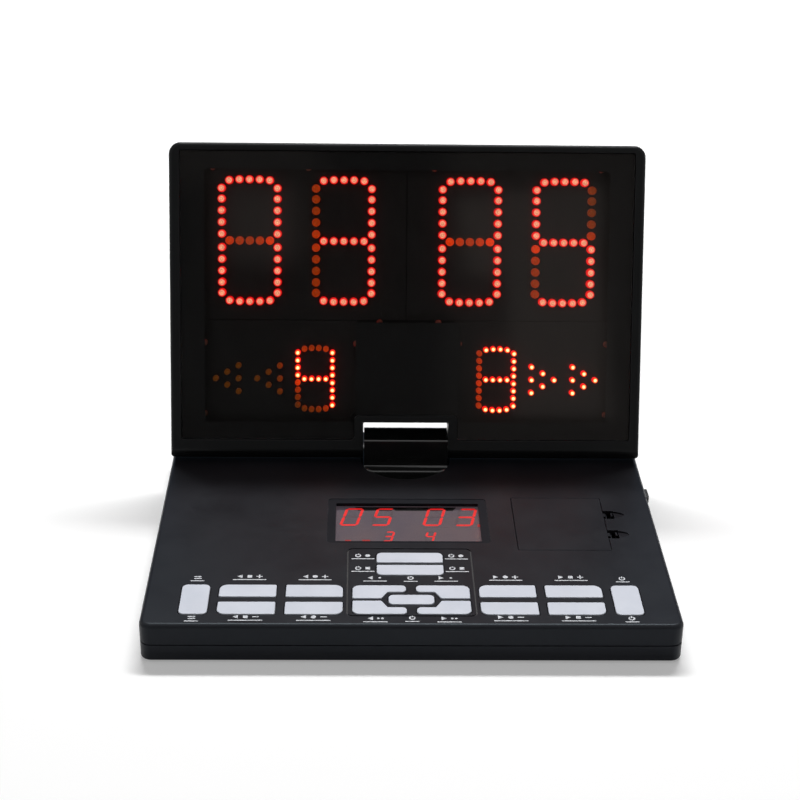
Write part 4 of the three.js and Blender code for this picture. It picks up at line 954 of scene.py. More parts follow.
def half_oval(x, y, reach, half):
    """Points of the half to the right of its straight side."""
    turns = [math.pi * (i / ARC_SIDES - 0.5) for i in range(ARC_SIDES + 1)]
    return [Vector((x + reach * math.cos(t), y + half * math.sin(t))) for t in turns]


def corner_places(inset):
    depths = (-FRONT_REACH + inset, REAR_REACH - inset)
    return [(x * (CASE_REACH - inset), y) for x in (-1, 1) for y in depths]


def corner_posts(inset, radius, sides, low, high):
    return [prism(circle(radius, sides, x, y), low, high) for x, y in corner_places(inset)]


def finger_scoop(y):
    """A half-oval dip beside a latch, deepest along its back wall and running out at the front."""
    half = LATCH_SLOT[0] / 2
    edge = half_oval(DOOR_RIGHT - SCOOP_LAP, y, SCOOP_REACH, half)
    dip = prism(edge, BASE_TOP - SCOOP_DEPTH, BASE_TOP + OVERRUN)
    for vertex in dip.vertices:
        if vertex.co.z < BASE_TOP:
            share = (vertex.co.y - y + half) / (2 * half)
            vertex.co.z = BASE_TOP + SCOOP_RUNOUT - (SCOOP_DEPTH + SCOOP_RUNOUT) * share
    return dip


def base_top_shell():
    """The deck and its walls, with every opening, bosses inside and a collar for the swivel."""
    shell = loft(rounded_layers(BASE, PARTING, BASE_TOP, TOP_ROUND))
    deep, over = CEILING - OVERRUN, BASE_TOP + OVERRUN
    display = loft([(outline(OPERATOR_WINDOW), deep), (outline(OPERATOR_WINDOW), BASE_TOP - RECESS_DEPTH),
                    (outline(RECESS), BASE_TOP - RECESS_STEP), (outline(RECESS), over)])
    line = hollow_prism(outline(PANEL), outline(PANEL, -PANEL_LINE), BASE_TOP - PANEL_DEPTH, over)
    disc = prism(circle(DISC_RADIUS + DISC_GAP), DISC_FLOOR, over)
    door = opening(DOOR, DOOR_GAP, deep, BASE_TOP)
    hollow = prism(outline(BASE, -WALL), PARTING - OVERRUN, CEILING)
    bosses = corner_posts(CORNER_SCREW, BOSS, SMALL_SIDES, PARTING, CEILING + OVERRUN)
    collar = prism(circle(COLLAR, COLLAR_SIDES), CEILING - COLLAR_HEIGHT, CEILING + OVERRUN)
    spindle_hole = prism(circle(SPINDLE_HOLE), CEILING - COLLAR_HEIGHT - OVERRUN, over)
    key_holes = [opening(corners, KEY_GAP, deep, BASE_TOP) for corners in KEYS.values()]
    shell = boolean(shell, [hollow])
    shell = boolean(shell, bosses + [collar], "UNION")
    shell = boolean(shell, corner_posts(CORNER_SCREW, PILOT, PILOT_SIDES, PARTING - OVERRUN, PILOT_TOP))
    shell = boolean(shell, key_holes + [display, disc, door])
    shell = boolean(shell, [line, spindle_hole])
    shell = boolean(shell, [finger_scoop(y) for y in LATCHES])
    half = LATCH_SLOT[0] / 2
    slots = [block(DOOR_RIGHT - DOOR_CORNER, y - half + SLOT_PLAY, deep,
                   DOOR_RIGHT + LATCH_SLOT[1], y + half - SLOT_PLAY, BASE_TOP + 2 * OVERRUN) for y in LATCHES]
    front, back = SWITCH_PLACE - STEM_LENGTH / 2, SWITCH_PLACE + STEM_LENGTH / 2 + SWITCH_TRAVEL
    switch = block(CASE_REACH - WALL - OVERRUN, front - SWITCH_GAP, SWITCH_Z - STEM_HALF - SWITCH_GAP,
                   CASE_REACH + OVERRUN, back + SWITCH_GAP, SWITCH_Z + STEM_HALF + SWITCH_GAP)
    return boolean(shell, slots + [switch])


def base_bottom_shell():
    """The tray below the parting groove, with bosses, foot pockets, screw seats and the inlet's hole."""
    groove_low = PARTING - GROOVE_HEIGHT
    layers = rounded_layers(BASE, groove_low, STAND_GAP, BOTTOM_ROUND)
    layers += [(outline(BASE, -GROOVE_DEPTH), groove_low), (outline(BASE, -GROOVE_DEPTH), PARTING)]
    shell = boolean(loft(layers), [prism(outline(BASE, -WALL), FLOOR_TOP, PARTING + OVERRUN)])
    bosses = corner_posts(CORNER_SCREW, BOSS, SMALL_SIDES, FLOOR_TOP - OVERRUN, PARTING)
    shell = boolean(shell, bosses, "UNION")
    pockets = corner_posts(CORNER_FOOT, FOOT_RADIUS + SWITCH_GAP, FOOT_SIDES, -OVERRUN, FOOT_HEIGHT)
    head, shank, top = SCREW_HEAD + SWITCH_GAP, SHANK + SHANK_ROOM, PARTING + OVERRUN
    seat = [(0, -OVERRUN), (head, -OVERRUN), (head, SCREW_SEAT), (shank, SCREW_SEAT), (shank, top), (0, top)]
    seats = [at(turned(seat, SMALL_SIDES), x, y) for x, y in corner_places(CORNER_SCREW)]
    inlet = prism(circle(INLET_RADIUS + SWITCH_GAP / 2, FOOT_SIDES), -WALL - OVERRUN, OVERRUN)
    inlet = at(moved(inlet, Matrix.Rotation(math.pi / 2, 4, "X")), INLET_X, REAR_REACH - WALL, INLET_Z)
    return boolean(shell, pockets + seats + [inlet])


def battery_door():
    """A flat cover with two latch fingers on its right edge."""
    plate = loft([(outline(DOOR), CEILING + SEAT_GAP), (outline(DOOR), BASE_TOP - RIM_CHAMFER),
                  (outline(DOOR, -RIM_CHAMFER), BASE_TOP)])
    return boolean(plate, [latch_finger(y) for y in LATCHES], "UNION")


def latch_finger(y):
    """A springy strip that dips into the slot and comes up as a small catch at its end."""
    near, root, far = DOOR_RIGHT - OVERRUN, DOOR_RIGHT + FINGER_ROOM, DOOR_RIGHT + LATCH_SLOT[1] - FINGER_ROOM
    bottom, seat, top = FINGER_LOW, CEILING + SEAT_GAP, BASE_TOP - FINGER_SUNK
    thick, bend, inner_bend = FINGER_THICKNESS, FINGER_BEND, FINGER_INNER_BEND
    side = [(near, seat, 0), (root, seat, FINGER_LIP), (root, bottom, bend), (far, bottom, bend),
            (far, top, FINGER_TIP), (far - thick, top, FINGER_TIP),
            (far - thick, bottom + thick, inner_bend), (root + thick, bottom + thick, inner_bend),
            (root + thick, seat + thick, inner_bend), (near, seat + thick, 0)]
    ring = outline(side, steps=SMALL_ARC_STEPS)
    strip = prism(ring, -FINGER_HALF - FINGER_SHIFT, FINGER_HALF - FINGER_SHIFT)
    return moved(strip, Matrix(((1, 0, 0, 0), (0, 0, -1, y), (0, 1, 0, 0), (0, 0, 0, 1))))


def recess_slope_shade():
    """A thin dark skin on the slopes of the recess round the operator window, painting the slopes' shade."""
    foot, rim = outline(OPERATOR_WINDOW, -SLOPE_SHADE_PLAY), outline(RECESS, -SLOPE_SHADE_PLAY)
    low, high = BASE_TOP - RECESS_DEPTH, BASE_TOP - RECESS_STEP
    outer = loft([(foot, low), (rim, high)])
    inner = loft([(foot, low + SLOPE_SHADE_SKIN), (rim, high + SLOPE_SHADE_SKIN), (rim, BASE_TOP)])
    core = prism(outline(OPERATOR_WINDOW, -SLOPE_SHADE_LIP), low - OVERRUN, BASE_TOP)
    return boolean(outer, [inner, core])


def panel_line_paint():
    """A dark strip at the bottom of the groove round the middle keys: painted shade in the groove."""
    floor = BASE_TOP - PANEL_DEPTH
    return hollow_prism(outline(PANEL, -GROOVE_SHADE_PLAY), outline(PANEL, GROOVE_SHADE_PLAY - PANEL_LINE),
                        floor - GROOVE_SHADE_SUNK, floor + GROOVE_SHADE_RISE)


def make_base():
    piece("base_top_case", base_top_shell(), ON_BASE, "base", case_black, ["base_top_shell"])
    piece("base_bottom_case", base_bottom_shell(), ON_BASE, "base", case_black,
          ["base_bottom_shell"])
    piece("battery_lid", battery_door(), ON_BASE, "door", case_black, ["battery_door"])
    piece("operator_bezel", recess_slope_shade(), ON_BASE, "base", slope_shade_black)
    piece("panel_line_paint", panel_line_paint(), ON_BASE, "base", print_and_painted_shade_black)


# Operator display
OPERATOR_FACE = 20.9
OPERATOR_FLANGE = 1.5
PANE_PLAY = 0.15
PANE_EDGE = 0.15
FLANGE_DEPTH = 1.2
MODULE_TOP = 18.9
MODULE_HEIGHT = 5.3
MODULE_SIDE = 2.3
MODULE_FOOT = 1.3
MODULE_HEAD = 1.5
MODULE_CORNER = 0.3
OPERATOR_SLANT = 0.2
PRINT = 0.05
BIG_DIGITS = ((-31.7, "0"), (-14.0, "5"), (15.3, "0"), (33.4, "3"))
SMALL_DIGITS = ((-10.9, "3"), (12.3, "4"))
BIG_DIGIT = {"low": -74.2, "high": -54.6, "width": 10.6, "bar": 1.65}
SMALL_DIGIT = {"low": -91.3, "high": -80.4, "width": 5.6, "bar": 1.25}
SEGMENTS = {"0": "abcdef", "3": "abcdg", "4": "bcfg", "5": "acdfg"}
SEGMENT_GAP = 0.3
# Small marks of light: place, half the width and half the height
POINTS = ((40.4, -73.6, 0.9, 1.5), (38.6, -91.4, 1.1, 0.7), (-33.7, -90.4, 1.7, 0.7),
          (-23.6, -90.2, 2.2, 0.7))
POINT_CORNER = 0.4
GROUND = rectangle(-42.2, -97.4, 42.2, -52.1, 0.5)
GROUND_THICKNESS = 0.7
GROUND_SUNK = 0.05
# A dark trapezoid on the sheet under the pane's top edge: painted reflection of the hinge block
HINGE_REFLECTION_BAR = [(-28.3, -57.2, 0.4), (26.2, -57.2, 0.4), (28.4, -53.2, 0), (-30.0, -53.2, 0)]
REFLECTION_BAR_SUNK = 0.06
OPERATOR_PLATE = rectangle(-43.9, -99.5, 43.9, -51.5, 0.5)
PLATE_BEVEL = 0.1


def operator_window():
    plate = outline(OPERATOR_WINDOW, -PANE_PLAY)
    face = outline(OPERATOR_WINDOW, -PANE_PLAY - PANE_EDGE)
    flange = outline(OPERATOR_WINDOW, OPERATOR_FLANGE)
    return loft([(flange, CEILING - FLANGE_DEPTH), (flange, CEILING), (plate, CEILING),
                 (plate, OPERATOR_FACE - PANE_EDGE), (face, OPERATOR_FACE)])


def segment_bar(length, width, upright):
    """A six-cornered bar, as the segments of such digits have."""
    half, thin = length / 2, width / 2
    points = [(-half, 0), (-half + thin, -thin), (half - thin, -thin),
              (half, 0), (half - thin, thin), (-half + thin, thin)]
    return [Vector((-y, x)) if upright else Vector((x, y)) for x, y in points]


def digit_segments(x, size):
    """Bars of one digit by letter, leaning to the right as it goes up."""
    bar = size["bar"]
    half, rise = size["width"] / 2 - bar / 2, (size["high"] - size["low"]) / 2 - bar / 2
    middle = (size["low"] + size["high"]) / 2
    flat = segment_bar(2 * half - SEGMENT_GAP, bar, False)
    bars = {name: [p + Vector((0, y)) for p in flat] for name, y in (("a", rise), ("g", 0), ("d", -rise))}
    for name, side, level in (("b", 1, 1), ("c", 1, -1), ("e", -1, -1), ("f", -1, 1)):
        upright = segment_bar(rise - SEGMENT_GAP, bar, True)
        bars[name] = [p + Vector((side * half, level * rise / 2)) for p in upright]
    return {name: [Vector((x + p.x + p.y * OPERATOR_SLANT, middle + p.y)) for p in points]
            for name, points in bars.items()}


def module_outline(x, size):
    """The plastic block round one digit."""
    half = size["width"] / 2 + MODULE_SIDE
    low, high = size["low"] - MODULE_FOOT, size["high"] + MODULE_HEAD
    return outline(rectangle(x - half, low, x + half, high, MODULE_CORNER))


def operator_modules():
    return [(x, shown, size) for digits, size in ((BIG_DIGITS, BIG_DIGIT), (SMALL_DIGITS, SMALL_DIGIT))
            for x, shown in digits]


def operator_segments(lit):
    """The bars that light, or those that stay dark."""
    return joined([prism(points, MODULE_TOP, MODULE_TOP + PRINT) for x, shown, size in operator_modules()
                   for name, points in digit_segments(x, size).items() if (name in SEGMENTS[shown]) == lit])


def operator_points():
    shapes = [rectangle(x - half, y - rise, x + half, y + rise, POINT_CORNER) for x, y, half, rise in POINTS]
    return joined([prism(outline(shape), MODULE_TOP, MODULE_TOP + PRINT) for shape in shapes])


def operator_ground():
    """The pale sheet that fills the window round the digit modules."""
    sheet = prism(outline(GROUND), MODULE_TOP - GROUND_THICKNESS, MODULE_TOP - GROUND_SUNK)
    return boolean(sheet, [prism(module_outline(x, size), MODULE_TOP - 2 * OVERRUN, MODULE_TOP + OVERRUN)
                           for x, _, size in operator_modules()])


def operator_board():
    foot = MODULE_TOP - MODULE_HEIGHT
    return prism(outline(OPERATOR_PLATE), foot - BOARD_THICKNESS, foot)


def make_operator_display():
    foot = MODULE_TOP - MODULE_HEIGHT
    modules = [prism(module_outline(x, size), foot, MODULE_TOP) for x, _, size in operator_modules()]
    # Painted reflection of the hinge block, laid on the sheet under the pane
    bar = prism(outline(HINGE_REFLECTION_BAR), MODULE_TOP - REFLECTION_BAR_SUNK, MODULE_TOP + PRINT / 2)
    piece("operator_pane", operator_window(), ON_BASE, "base", operator_smoke,
          ["operator_window"])
    piece("operator_digits_lit", operator_segments(True), ON_BASE, "base", segment_lit)
    piece("operator_digits_unlit", operator_segments(False), ON_BASE, "base", segment_unlit_painted_glow)
    piece("operator_points", operator_points(), ON_BASE, "base", segment_dim)
    piece("operator_modules", joined(modules), ON_BASE, "base", module_grey)
    piece("operator_ground", operator_ground(), ON_BASE, "base", module_grey)
    piece("operator_ground_bar", bar, ON_BASE, "base", print_and_painted_shade_black)
    piece("operator_plate", operator_board(), ON_BASE, "base", circuit_board,
          ["operator_board"], bevel=PLATE_BEVEL)


# White signs beside the keys, each group with a rule under it
ICON = 3.3
ICON_PITCH = 5.2
ICON_CORNER = 0.3
STROKE = 0.75
RULE = 0.75
RULE_DROP = 3.2
RULE_LAP = 0.4  # a share of the pitch
ICON_RISE = 1.2
GAME_LABEL = 85.7
POINT_LABEL = 50.8
SIDE_LABEL_ROWS = (-134.7, -173.2)
SERVE_LABEL = 19
SERVE_LABEL_ROWS = (-135.8, -174.4)
RESET_LABEL = 25.4
RESET_LABEL_ROWS = (-113.4, -126.2)
END_LABEL = 113.2
END_LABEL_ROWS = (-136, -174)


def ring_arc(radius, stroke, start, end):
    turns = [math.radians(start + (end - start) * i / ARC_SIDES) for i in range(ARC_SIDES + 1)]
    outer = [Vector((math.cos(a), math.sin(a))) * (radius + stroke / 2) for a in turns]
    inner = [Vector((math.cos(a), math.sin(a))) * (radius - stroke / 2) for a in reversed(turns)]
    return outer + inner


def corners(*points):
    return [Vector(point) for point in points]


def plus_icon():
    a, b = ICON / 2, STROKE / 2
    return [corners((-b, -a), (b, -a), (b, -b), (a, -b), (a, b), (b, b),
                    (b, a), (-b, a), (-b, b), (-a, b), (-a, -b), (-b, -b))]


def minus_icon():
    return [outline(rectangle(-ICON / 2, -STROKE / 2, ICON / 2, STROKE / 2))]


def arrow_icon(side):
    """A triangle that points to the given side."""
    reach, rise = ICON * 0.42, ICON / 2
    return [corners((side * reach, 0), (-side * reach, rise), (-side * reach, -rise))]


def dot_icon():
    return [circle(ICON * 0.42, ARC_SIDES)]


def square_icon():
    half = ICON * 0.38
    return [outline(rectangle(-half, -half, half, half, ICON_CORNER), steps=3)]


def pips_icon(count):
    return [circle(ICON * 0.22, 20, (i - (count - 1) / 2) * ICON * 0.62) for i in range(count)]


def again_icon():
    """An arrow that turns back on itself."""
    radius, head = ICON * 0.4, ICON * 0.24
    back = -head * 0.2
    tip = corners((back, radius + head), (back, radius - head), (head * 1.4, radius))
    return [ring_arc(radius, STROKE, 110, 400), tip]


def power_icon():
    radius = ICON * 0.42
    stem = rectangle(-STROKE / 2, radius * 0.25, STROKE / 2, radius * 1.45)
    return [ring_arc(radius, STROKE, 125, 415), outline(stem)]


def swap_icon():
    """Two arrows that pass each other."""
    reach, head = ICON * 0.62, ICON * 0.34
    icons = []
    for side in (-1, 1):
        y = side * ICON * 0.27
        icons.append([Vector((side * px, y + side * py)) for px, py in (
            (-reach, -STROKE / 2), (reach - head, -STROKE / 2), (reach - head, -head * 0.8), (reach, 0),
            (reach - head, head * 0.8), (reach - head, STROKE / 2), (-reach, STROKE / 2))])
    return icons


def key_labels():
    """Icons and their middles on the deck: place, then icons from left to right."""
    labels = []
    for side in (-1, 1):
        for x, shape in ((GAME_LABEL, square_icon), (POINT_LABEL, dot_icon)):
            labels += [((side * x, y), [arrow_icon(side), shape(), sign()])
                       for y, sign in zip(SIDE_LABEL_ROWS, (plus_icon, minus_icon))]
        labels += [((side * SERVE_LABEL, y), [arrow_icon(side), pips_icon(count)])
                   for count, y in enumerate(SERVE_LABEL_ROWS, start=1)]
        labels += [((side * RESET_LABEL, y), [again_icon(), shape()])
                   for y, shape in zip(RESET_LABEL_ROWS, (dot_icon, square_icon))]
    for x, icon in ((0, again_icon), (-END_LABEL, swap_icon), (END_LABEL, power_icon)):
        labels += [((x, y), [icon()]) for y in END_LABEL_ROWS]
    return labels


def make_labels():
    rings = []
    for (x, y), icons in key_labels():
        first = x - (len(icons) - 1) / 2 * ICON_PITCH
        for i, icon in enumerate(icons):
            place = Vector((first + i * ICON_PITCH, y + ICON_RISE))
            rings += [[p + place for p in ring] for ring in icon]
        half, middle = (len(icons) + RULE_LAP) * ICON_PITCH / 2, y + ICON_RISE - RULE_DROP
        rings.append(outline(rectangle(x - half, middle - RULE / 2, x + half, middle + RULE / 2)))
    shapes = [prism(ring, BASE_TOP - PRINT, BASE_TOP + PRINT / 2) for ring in rings]
    piece("key_labels", joined(shapes), ON_BASE, "base", print_white)


# Small outer pieces
CAP_LENGTH = 9.6
CAP_HEIGHT = 4
CAP_REACH = 2.6
CAP_RIBS = 5
CAP_END = 1
CAP_CORNER = 0.7
CAP_EDGE = 0.2
RIB_DEPTH = 0.55
RIB_ROUND = 0.1
VALLEY_ROUND = 0.15
FOOT_EDGE = 0.5
FOOT_RING = 1.2
FOOT_RING_FOOT = 1.6
FOOT_HOLLOW = 0.35
FOOT_SHOULDER = ((0.1, 0.2), (0, 0.5))  # inset and height
LID_SCREW_LENGTH = 11.1
LID_SCREW_SUNK = 0.4
BASE_SCREW_LENGTH = 12.7
BOARD_SCREW_LENGTH = 2.5
BOARD_SCREW_SIZE = 0.62
HEAD_HEIGHT = 2
HEAD_DOME = ((0, 0), (1.3, 0.03), (2.2, 0.22), (2.75, 0.7), (SCREW_HEAD, 1.3))  # radius and depth
TIP_LENGTH = 0.8
TIP_RADIUS = 0.3
CROSS_REACH = 1.55
CROSS_HALF = 0.36
CROSS_DEPTH = 1.2
SCREW_SPIN = 3.1
SCREW_SEED = 7


def switch_knob():
    """A ribbed cap on a stem, drawn from above and raised to the cap's height."""
    low, high = SWITCH_Z - CAP_HEIGHT / 2, SWITCH_Z + CAP_HEIGHT / 2
    face, root = CASE_REACH + CAP_REACH, CASE_REACH + SWITCH_GAP
    front = SWITCH_PLACE - CAP_LENGTH / 2
    edge = [(root, front, 0), (face, front, CAP_CORNER)]
    pitch = (CAP_LENGTH - 2 * CAP_END) / CAP_RIBS
    for i in range(CAP_RIBS):
        y = front + CAP_END + (i + 0.5) * pitch
        edge += [(face, y - pitch * 0.28, RIB_ROUND), (face - RIB_DEPTH, y, VALLEY_ROUND),
                 (face, y + pitch * 0.28, RIB_ROUND)]
    edge += [(face, front + CAP_LENGTH, CAP_CORNER), (root, front + CAP_LENGTH, 0)]
    stem = block(CASE_REACH - WALL - SWITCH_GAP, SWITCH_PLACE - STEM_LENGTH / 2, SWITCH_Z - STEM_HALF,
                 root + OVERRUN, SWITCH_PLACE + STEM_LENGTH / 2, SWITCH_Z + STEM_HALF)
    return boolean(prism(outline(edge, steps=SMALL_ARC_STEPS), low, high), [stem], "UNION")


def rubber_foot(x, y):
    """A round pad that stands on a low ring."""
    rim = FOOT_RADIUS - FOOT_EDGE
    shoulder = [(FOOT_RADIUS - inset, height) for inset, height in FOOT_SHOULDER]
    profile = [(0, FOOT_HOLLOW), (rim - FOOT_RING_FOOT, FOOT_HOLLOW), (rim - FOOT_RING, 0), (rim, 0),
               *shoulder, (FOOT_RADIUS, FOOT_HEIGHT), (0, FOOT_HEIGHT)]
    return at(turned(profile, FOOT_SIDES), x, y)


def screw_shape(length):
    """A pan-headed screw with a cross recess, head down, its seat at zero height."""
    dome = [(radius, -HEAD_HEIGHT + depth) for radius, depth in HEAD_DOME]
    shape = turned(dome + [(SCREW_HEAD, 0), (SHANK, 0), (SHANK, length - TIP_LENGTH),
                           (TIP_RADIUS, length), (0, length)], SMALL_SIDES)
    top = -HEAD_HEIGHT
    for a, b in ((CROSS_REACH, CROSS_HALF), (CROSS_HALF, CROSS_REACH)):
        mouth = outline(rectangle(-a, -b, a, b))
        foot = outline(rectangle(-a * 0.45, -b * 0.8, a * 0.45, b * 0.8))
        shape = boolean(shape, [loft([(mouth, top - OVERRUN), (mouth, top), (foot, top + CROSS_DEPTH)])])
    return shape


def screw_tree():
    """Screws on a mesh's points, turned as asked, with their material."""
    tree, given, out = node_tree(
        "GeometryNodeTree", "screws",
        [("Geometry", "Geometry"), ("Screw", "Object"), ("Turn", "Vector"), ("Size", "Float"),
         ("Finish", "Material")],
        [("Geometry", "Geometry")])
    shape = feed(tree, add_node(tree, "GeometryNodeObjectInfo"), Object=given.outputs["Screw"])
    turn = feed(tree, add_node(tree, "FunctionNodeEulerToRotation"), Euler=given.outputs["Turn"])
    size = add_node(tree, "ShaderNodeCombineXYZ")
    feed(tree, size, X=given.outputs["Size"], Y=given.outputs["Size"], Z=given.outputs["Size"])
    spin = add_node(tree, "FunctionNodeRandomValue", data_type="FLOAT")
    give(tree, spin.inputs[3], SCREW_SPIN)
    give(tree, spin.inputs["Seed"], SCREW_SEED)
    own = feed(tree, add_node(tree, "ShaderNodeCombineXYZ"), Z=spin.outputs[1])
    own_turn = feed(tree, add_node(tree, "FunctionNodeEulerToRotation"), Euler=own.outputs[0])
    points = add_node(tree, "GeometryNodeInstanceOnPoints")
    feed(tree, points, Points=given.outputs["Geometry"], Instance=shape.outputs["Geometry"],
         Rotation=turn.outputs[0], Scale=size.outputs[0])
    turned_each = add_node(tree, "GeometryNodeRotateInstances")
    feed(tree, turned_each, Instances=points.outputs[0], Rotation=own_turn.outputs[0])
    real = feed(tree, add_node(tree, "GeometryNodeRealizeInstances"), Geometry=turned_each.outputs[0])
    finish = add_node(tree, "GeometryNodeSetMaterial")
    feed(tree, finish, Geometry=real.outputs[0], Material=given.outputs["Finish"])
    feed(tree, out, Geometry=finish.outputs[0])
    return tree


def grown_screws(tree, places, length, turn=(0, 0, 0), size=1.0, finish=steel_plated):
    """One mesh of screws seated at the given places."""
    mesh = bpy.data.meshes.new("screw_points")
    mesh.from_pydata(places, [], [])
    thing, screw = carrier(mesh), carrier(screw_shape(length))
    modifier = thing.modifiers.new("screws", "NODES")
    modifier.node_group = tree
    set_inputs(modifier, Screw=screw, Turn=turn, Size=size, Finish=finish)
    grown = baked(thing)
    discard(screw)
    return grown


def make_screws():
    tree = screw_tree()
    base = grown_screws(tree, [(x, y, SCREW_SEAT) for x, y in corner_places(CORNER_SCREW)], BASE_SCREW_LENGTH)
    base.transform(ON_BASE)
    dressed("case_screws", smoothed(base), "base", None,
            [f"base_screw_{corner}" for corner in CORNER_NAMES])
    seat = -LID_BACK + LID_SCREW_SUNK + HEAD_HEIGHT
    lid = grown_screws(tree, [(x, y, seat) for x, y in LID_SCREWS], LID_SCREW_LENGTH)
    lid.transform(ON_LID)
    dressed("cover_screws", smoothed(lid), "lid", None,
            [f"lid_screw_{end}_{side}" for end in ("lower", "upper") for side in ("left", "right")])
    boards = grown_screws(tree, [(x, y, LAMP_BOARD_FACE) for x, y in BOARD_SCREWS], BOARD_SCREW_LENGTH,
                          (math.pi, 0, 0), BOARD_SCREW_SIZE, copper_pads)
    boards.transform(ON_LID)
    dressed("board_screws", smoothed(boards), "lid", None)


def make_small_pieces():
    piece("switch_cap", switch_knob(), ON_BASE, "switch", switch_black,
          ["side_switch_knob"], bevel=CAP_EDGE)
    for name, (x, y) in zip(CORNER_NAMES, corner_places(CORNER_FOOT)):
        piece(f"rubber_foot_{name}", rubber_foot(x, y), ON_BASE, "base", rubber_dark,
              [f"foot_{name}"])
    make_screws()


# Swivel and hinge
BLOCK_REACH = 25.2
BLOCK_FRONT = 12.1
BLOCK_REAR = 11
BLOCK_TOP = 40.7
BLOCK_REAR_ROUND = 8
BLOCK_FRONT_ROUND = 0.9
DISC_TOP = 22.6
PAD_TOP = 23.4
PAD_REACH = 18.2
PAD_CORNER = 7
PAD_ROUND = 1.4
SKIRT_RISE = 0.6
SKIRT_REACH = 1.2
BLOCK_SPREAD = 0.3
BLOCK_SUNK = 0.15
BLOCK_EDGE = 0.35
BLOCK_ANGLE = 28
SKIRT_REAR_ROUND = 0.5
SKIRT_FRONT_ROUND = 0.3
PAD_SUNK = 0.1
BORE_RADIUS = 2.05
BORE_DEPTH = 8.2
SPINDLE_BORE = 6.5
SPINDLE_RADIUS = 9
SPINDLE_FOOT = 11.2
DISC_LOW = 21.6
DISC_EDGE = 0.1


def hinge_block():
    """The block between the base and the lid: a rounded top, a skirt, a pad and two pin bores."""
    foot, side, skirt = BLOCK_FRONT + BLOCK_SPREAD, BLOCK_REACH - BLOCK_INSET, PAD_TOP + SKIRT_RISE
    front, rear, low = -foot - SKIRT_REACH, BLOCK_REAR + SKIRT_REACH, PAD_TOP - BLOCK_SUNK
    section = [(front, low, 0), (rear, low, 0), (rear, PAD_TOP, 0), (BLOCK_REAR, skirt, SKIRT_REAR_ROUND),
               (BLOCK_REAR, BLOCK_TOP, BLOCK_REAR_ROUND), (-BLOCK_FRONT, BLOCK_TOP, BLOCK_FRONT_ROUND),
               (-foot, skirt, SKIRT_FRONT_ROUND), (front, PAD_TOP, 0)]
    body = along_x(prism(outline(section), -side, side))
    pad = rectangle(-side, -PAD_REACH, side, PAD_REACH, PAD_CORNER)
    inner, outer = BLOCK_REACH - BORE_DEPTH, BLOCK_REACH + OVERRUN
    bores = [along_x(prism(circle(BORE_RADIUS, SMALL_SIDES, 0, axis.z / MM), low, high))
             for low, high in ((-outer, -inner), (inner, outer))]
    layers = [(outline(pad), DISC_TOP - PAD_SUNK)]
    for step in range(EDGE_STEPS + 1):
        angle = step / EDGE_STEPS * math.pi / 2
        height = DISC_TOP + (PAD_TOP - DISC_TOP) * math.sin(angle)
        layers.append((outline(pad, -PAD_ROUND * (1 - math.cos(angle))), height))
    whole = boolean(body, [loft(layers)], "UNION")
    return boolean(whole, bores)


def turntable():
    """A disc on a hollow spindle."""
    bore_foot = (SPINDLE_BORE, SPINDLE_FOOT)
    return turned([bore_foot, (SPINDLE_RADIUS, SPINDLE_FOOT), (SPINDLE_RADIUS, DISC_LOW),
                   (DISC_RADIUS, DISC_LOW), (DISC_RADIUS, DISC_TOP - DISC_EDGE),
                   (DISC_RADIUS - DISC_EDGE, DISC_TOP), (SPINDLE_BORE, DISC_TOP), bore_foot])


def make_hinge():
    piece("hinge_housing", hinge_block(), ON_BASE, "swivel", hinge_black, ["hinge_block"],
          BLOCK_ANGLE, BLOCK_EDGE)
    piece("swivel_disc", turntable(), ON_BASE, "swivel", disc_black, ["turntable"])


# Lid, drawn flat: X across, Y from the tilt axis to the free edge, Z out of its face
LID = rectangle(-CASE_REACH, -LID_FRONT, CASE_REACH, FRONT_REACH,
                (LID_LOW_CORNER, LID_LOW_CORNER, LID_TOP_CORNER, LID_TOP_CORNER))
PLATE = [
    (-CASE_REACH + BORDER, WINDOW_FOOT, WINDOW_CORNER),
    (-NOTCH_REACH - RIM_WIDTH, WINDOW_FOOT, RIM_CORNER),
    (-NOTCH_REACH - RIM_WIDTH, NOTCH_TOP + RIM_TOP, RIM_CORNER),
    (NOTCH_REACH + RIM_WIDTH, NOTCH_TOP + RIM_TOP, RIM_CORNER),
    (NOTCH_REACH + RIM_WIDTH, WINDOW_FOOT, RIM_CORNER),
    (CASE_REACH - BORDER, WINDOW_FOOT, WINDOW_CORNER),
    (CASE_REACH - BORDER, FRONT_REACH - TOP_BORDER, WINDOW_CORNER),
    (-CASE_REACH + BORDER, FRONT_REACH - TOP_BORDER, WINDOW_CORNER),
]


NOSE_STEPS = 16
SLOPE_START = 1
FRAME_ROOM_SLOPE = 3.2
COVER_ROOM_SLOPE = 3
LEDGE_THICKNESS = 1.6
COVER_WALL = 2
HEAD_ROOM = 0.3
HEAD_RECESS = 2.4
PLATE_EDGE = 0.2


def side_profile(nose, slope_start, back):
    """The lid's side: a round nose about the tilt axis and a slope up to the back."""
    far, over = FRONT_REACH + OVERRUN, LID_FRONT + OVERRUN
    points = [Vector((far, back - OVERRUN)), Vector((far, over)), Vector((0, over))]
    for step in range(NOSE_STEPS + 1):
        angle = math.pi * (0.5 + 0.75 * step / NOSE_STEPS)
        points.append(Vector((nose * math.cos(angle), nose * math.sin(angle))))
    points += [Vector((slope_start, back)), Vector((slope_start, back - OVERRUN))]
    return along_x(prism(points, -2 * CASE_REACH, 2 * CASE_REACH))


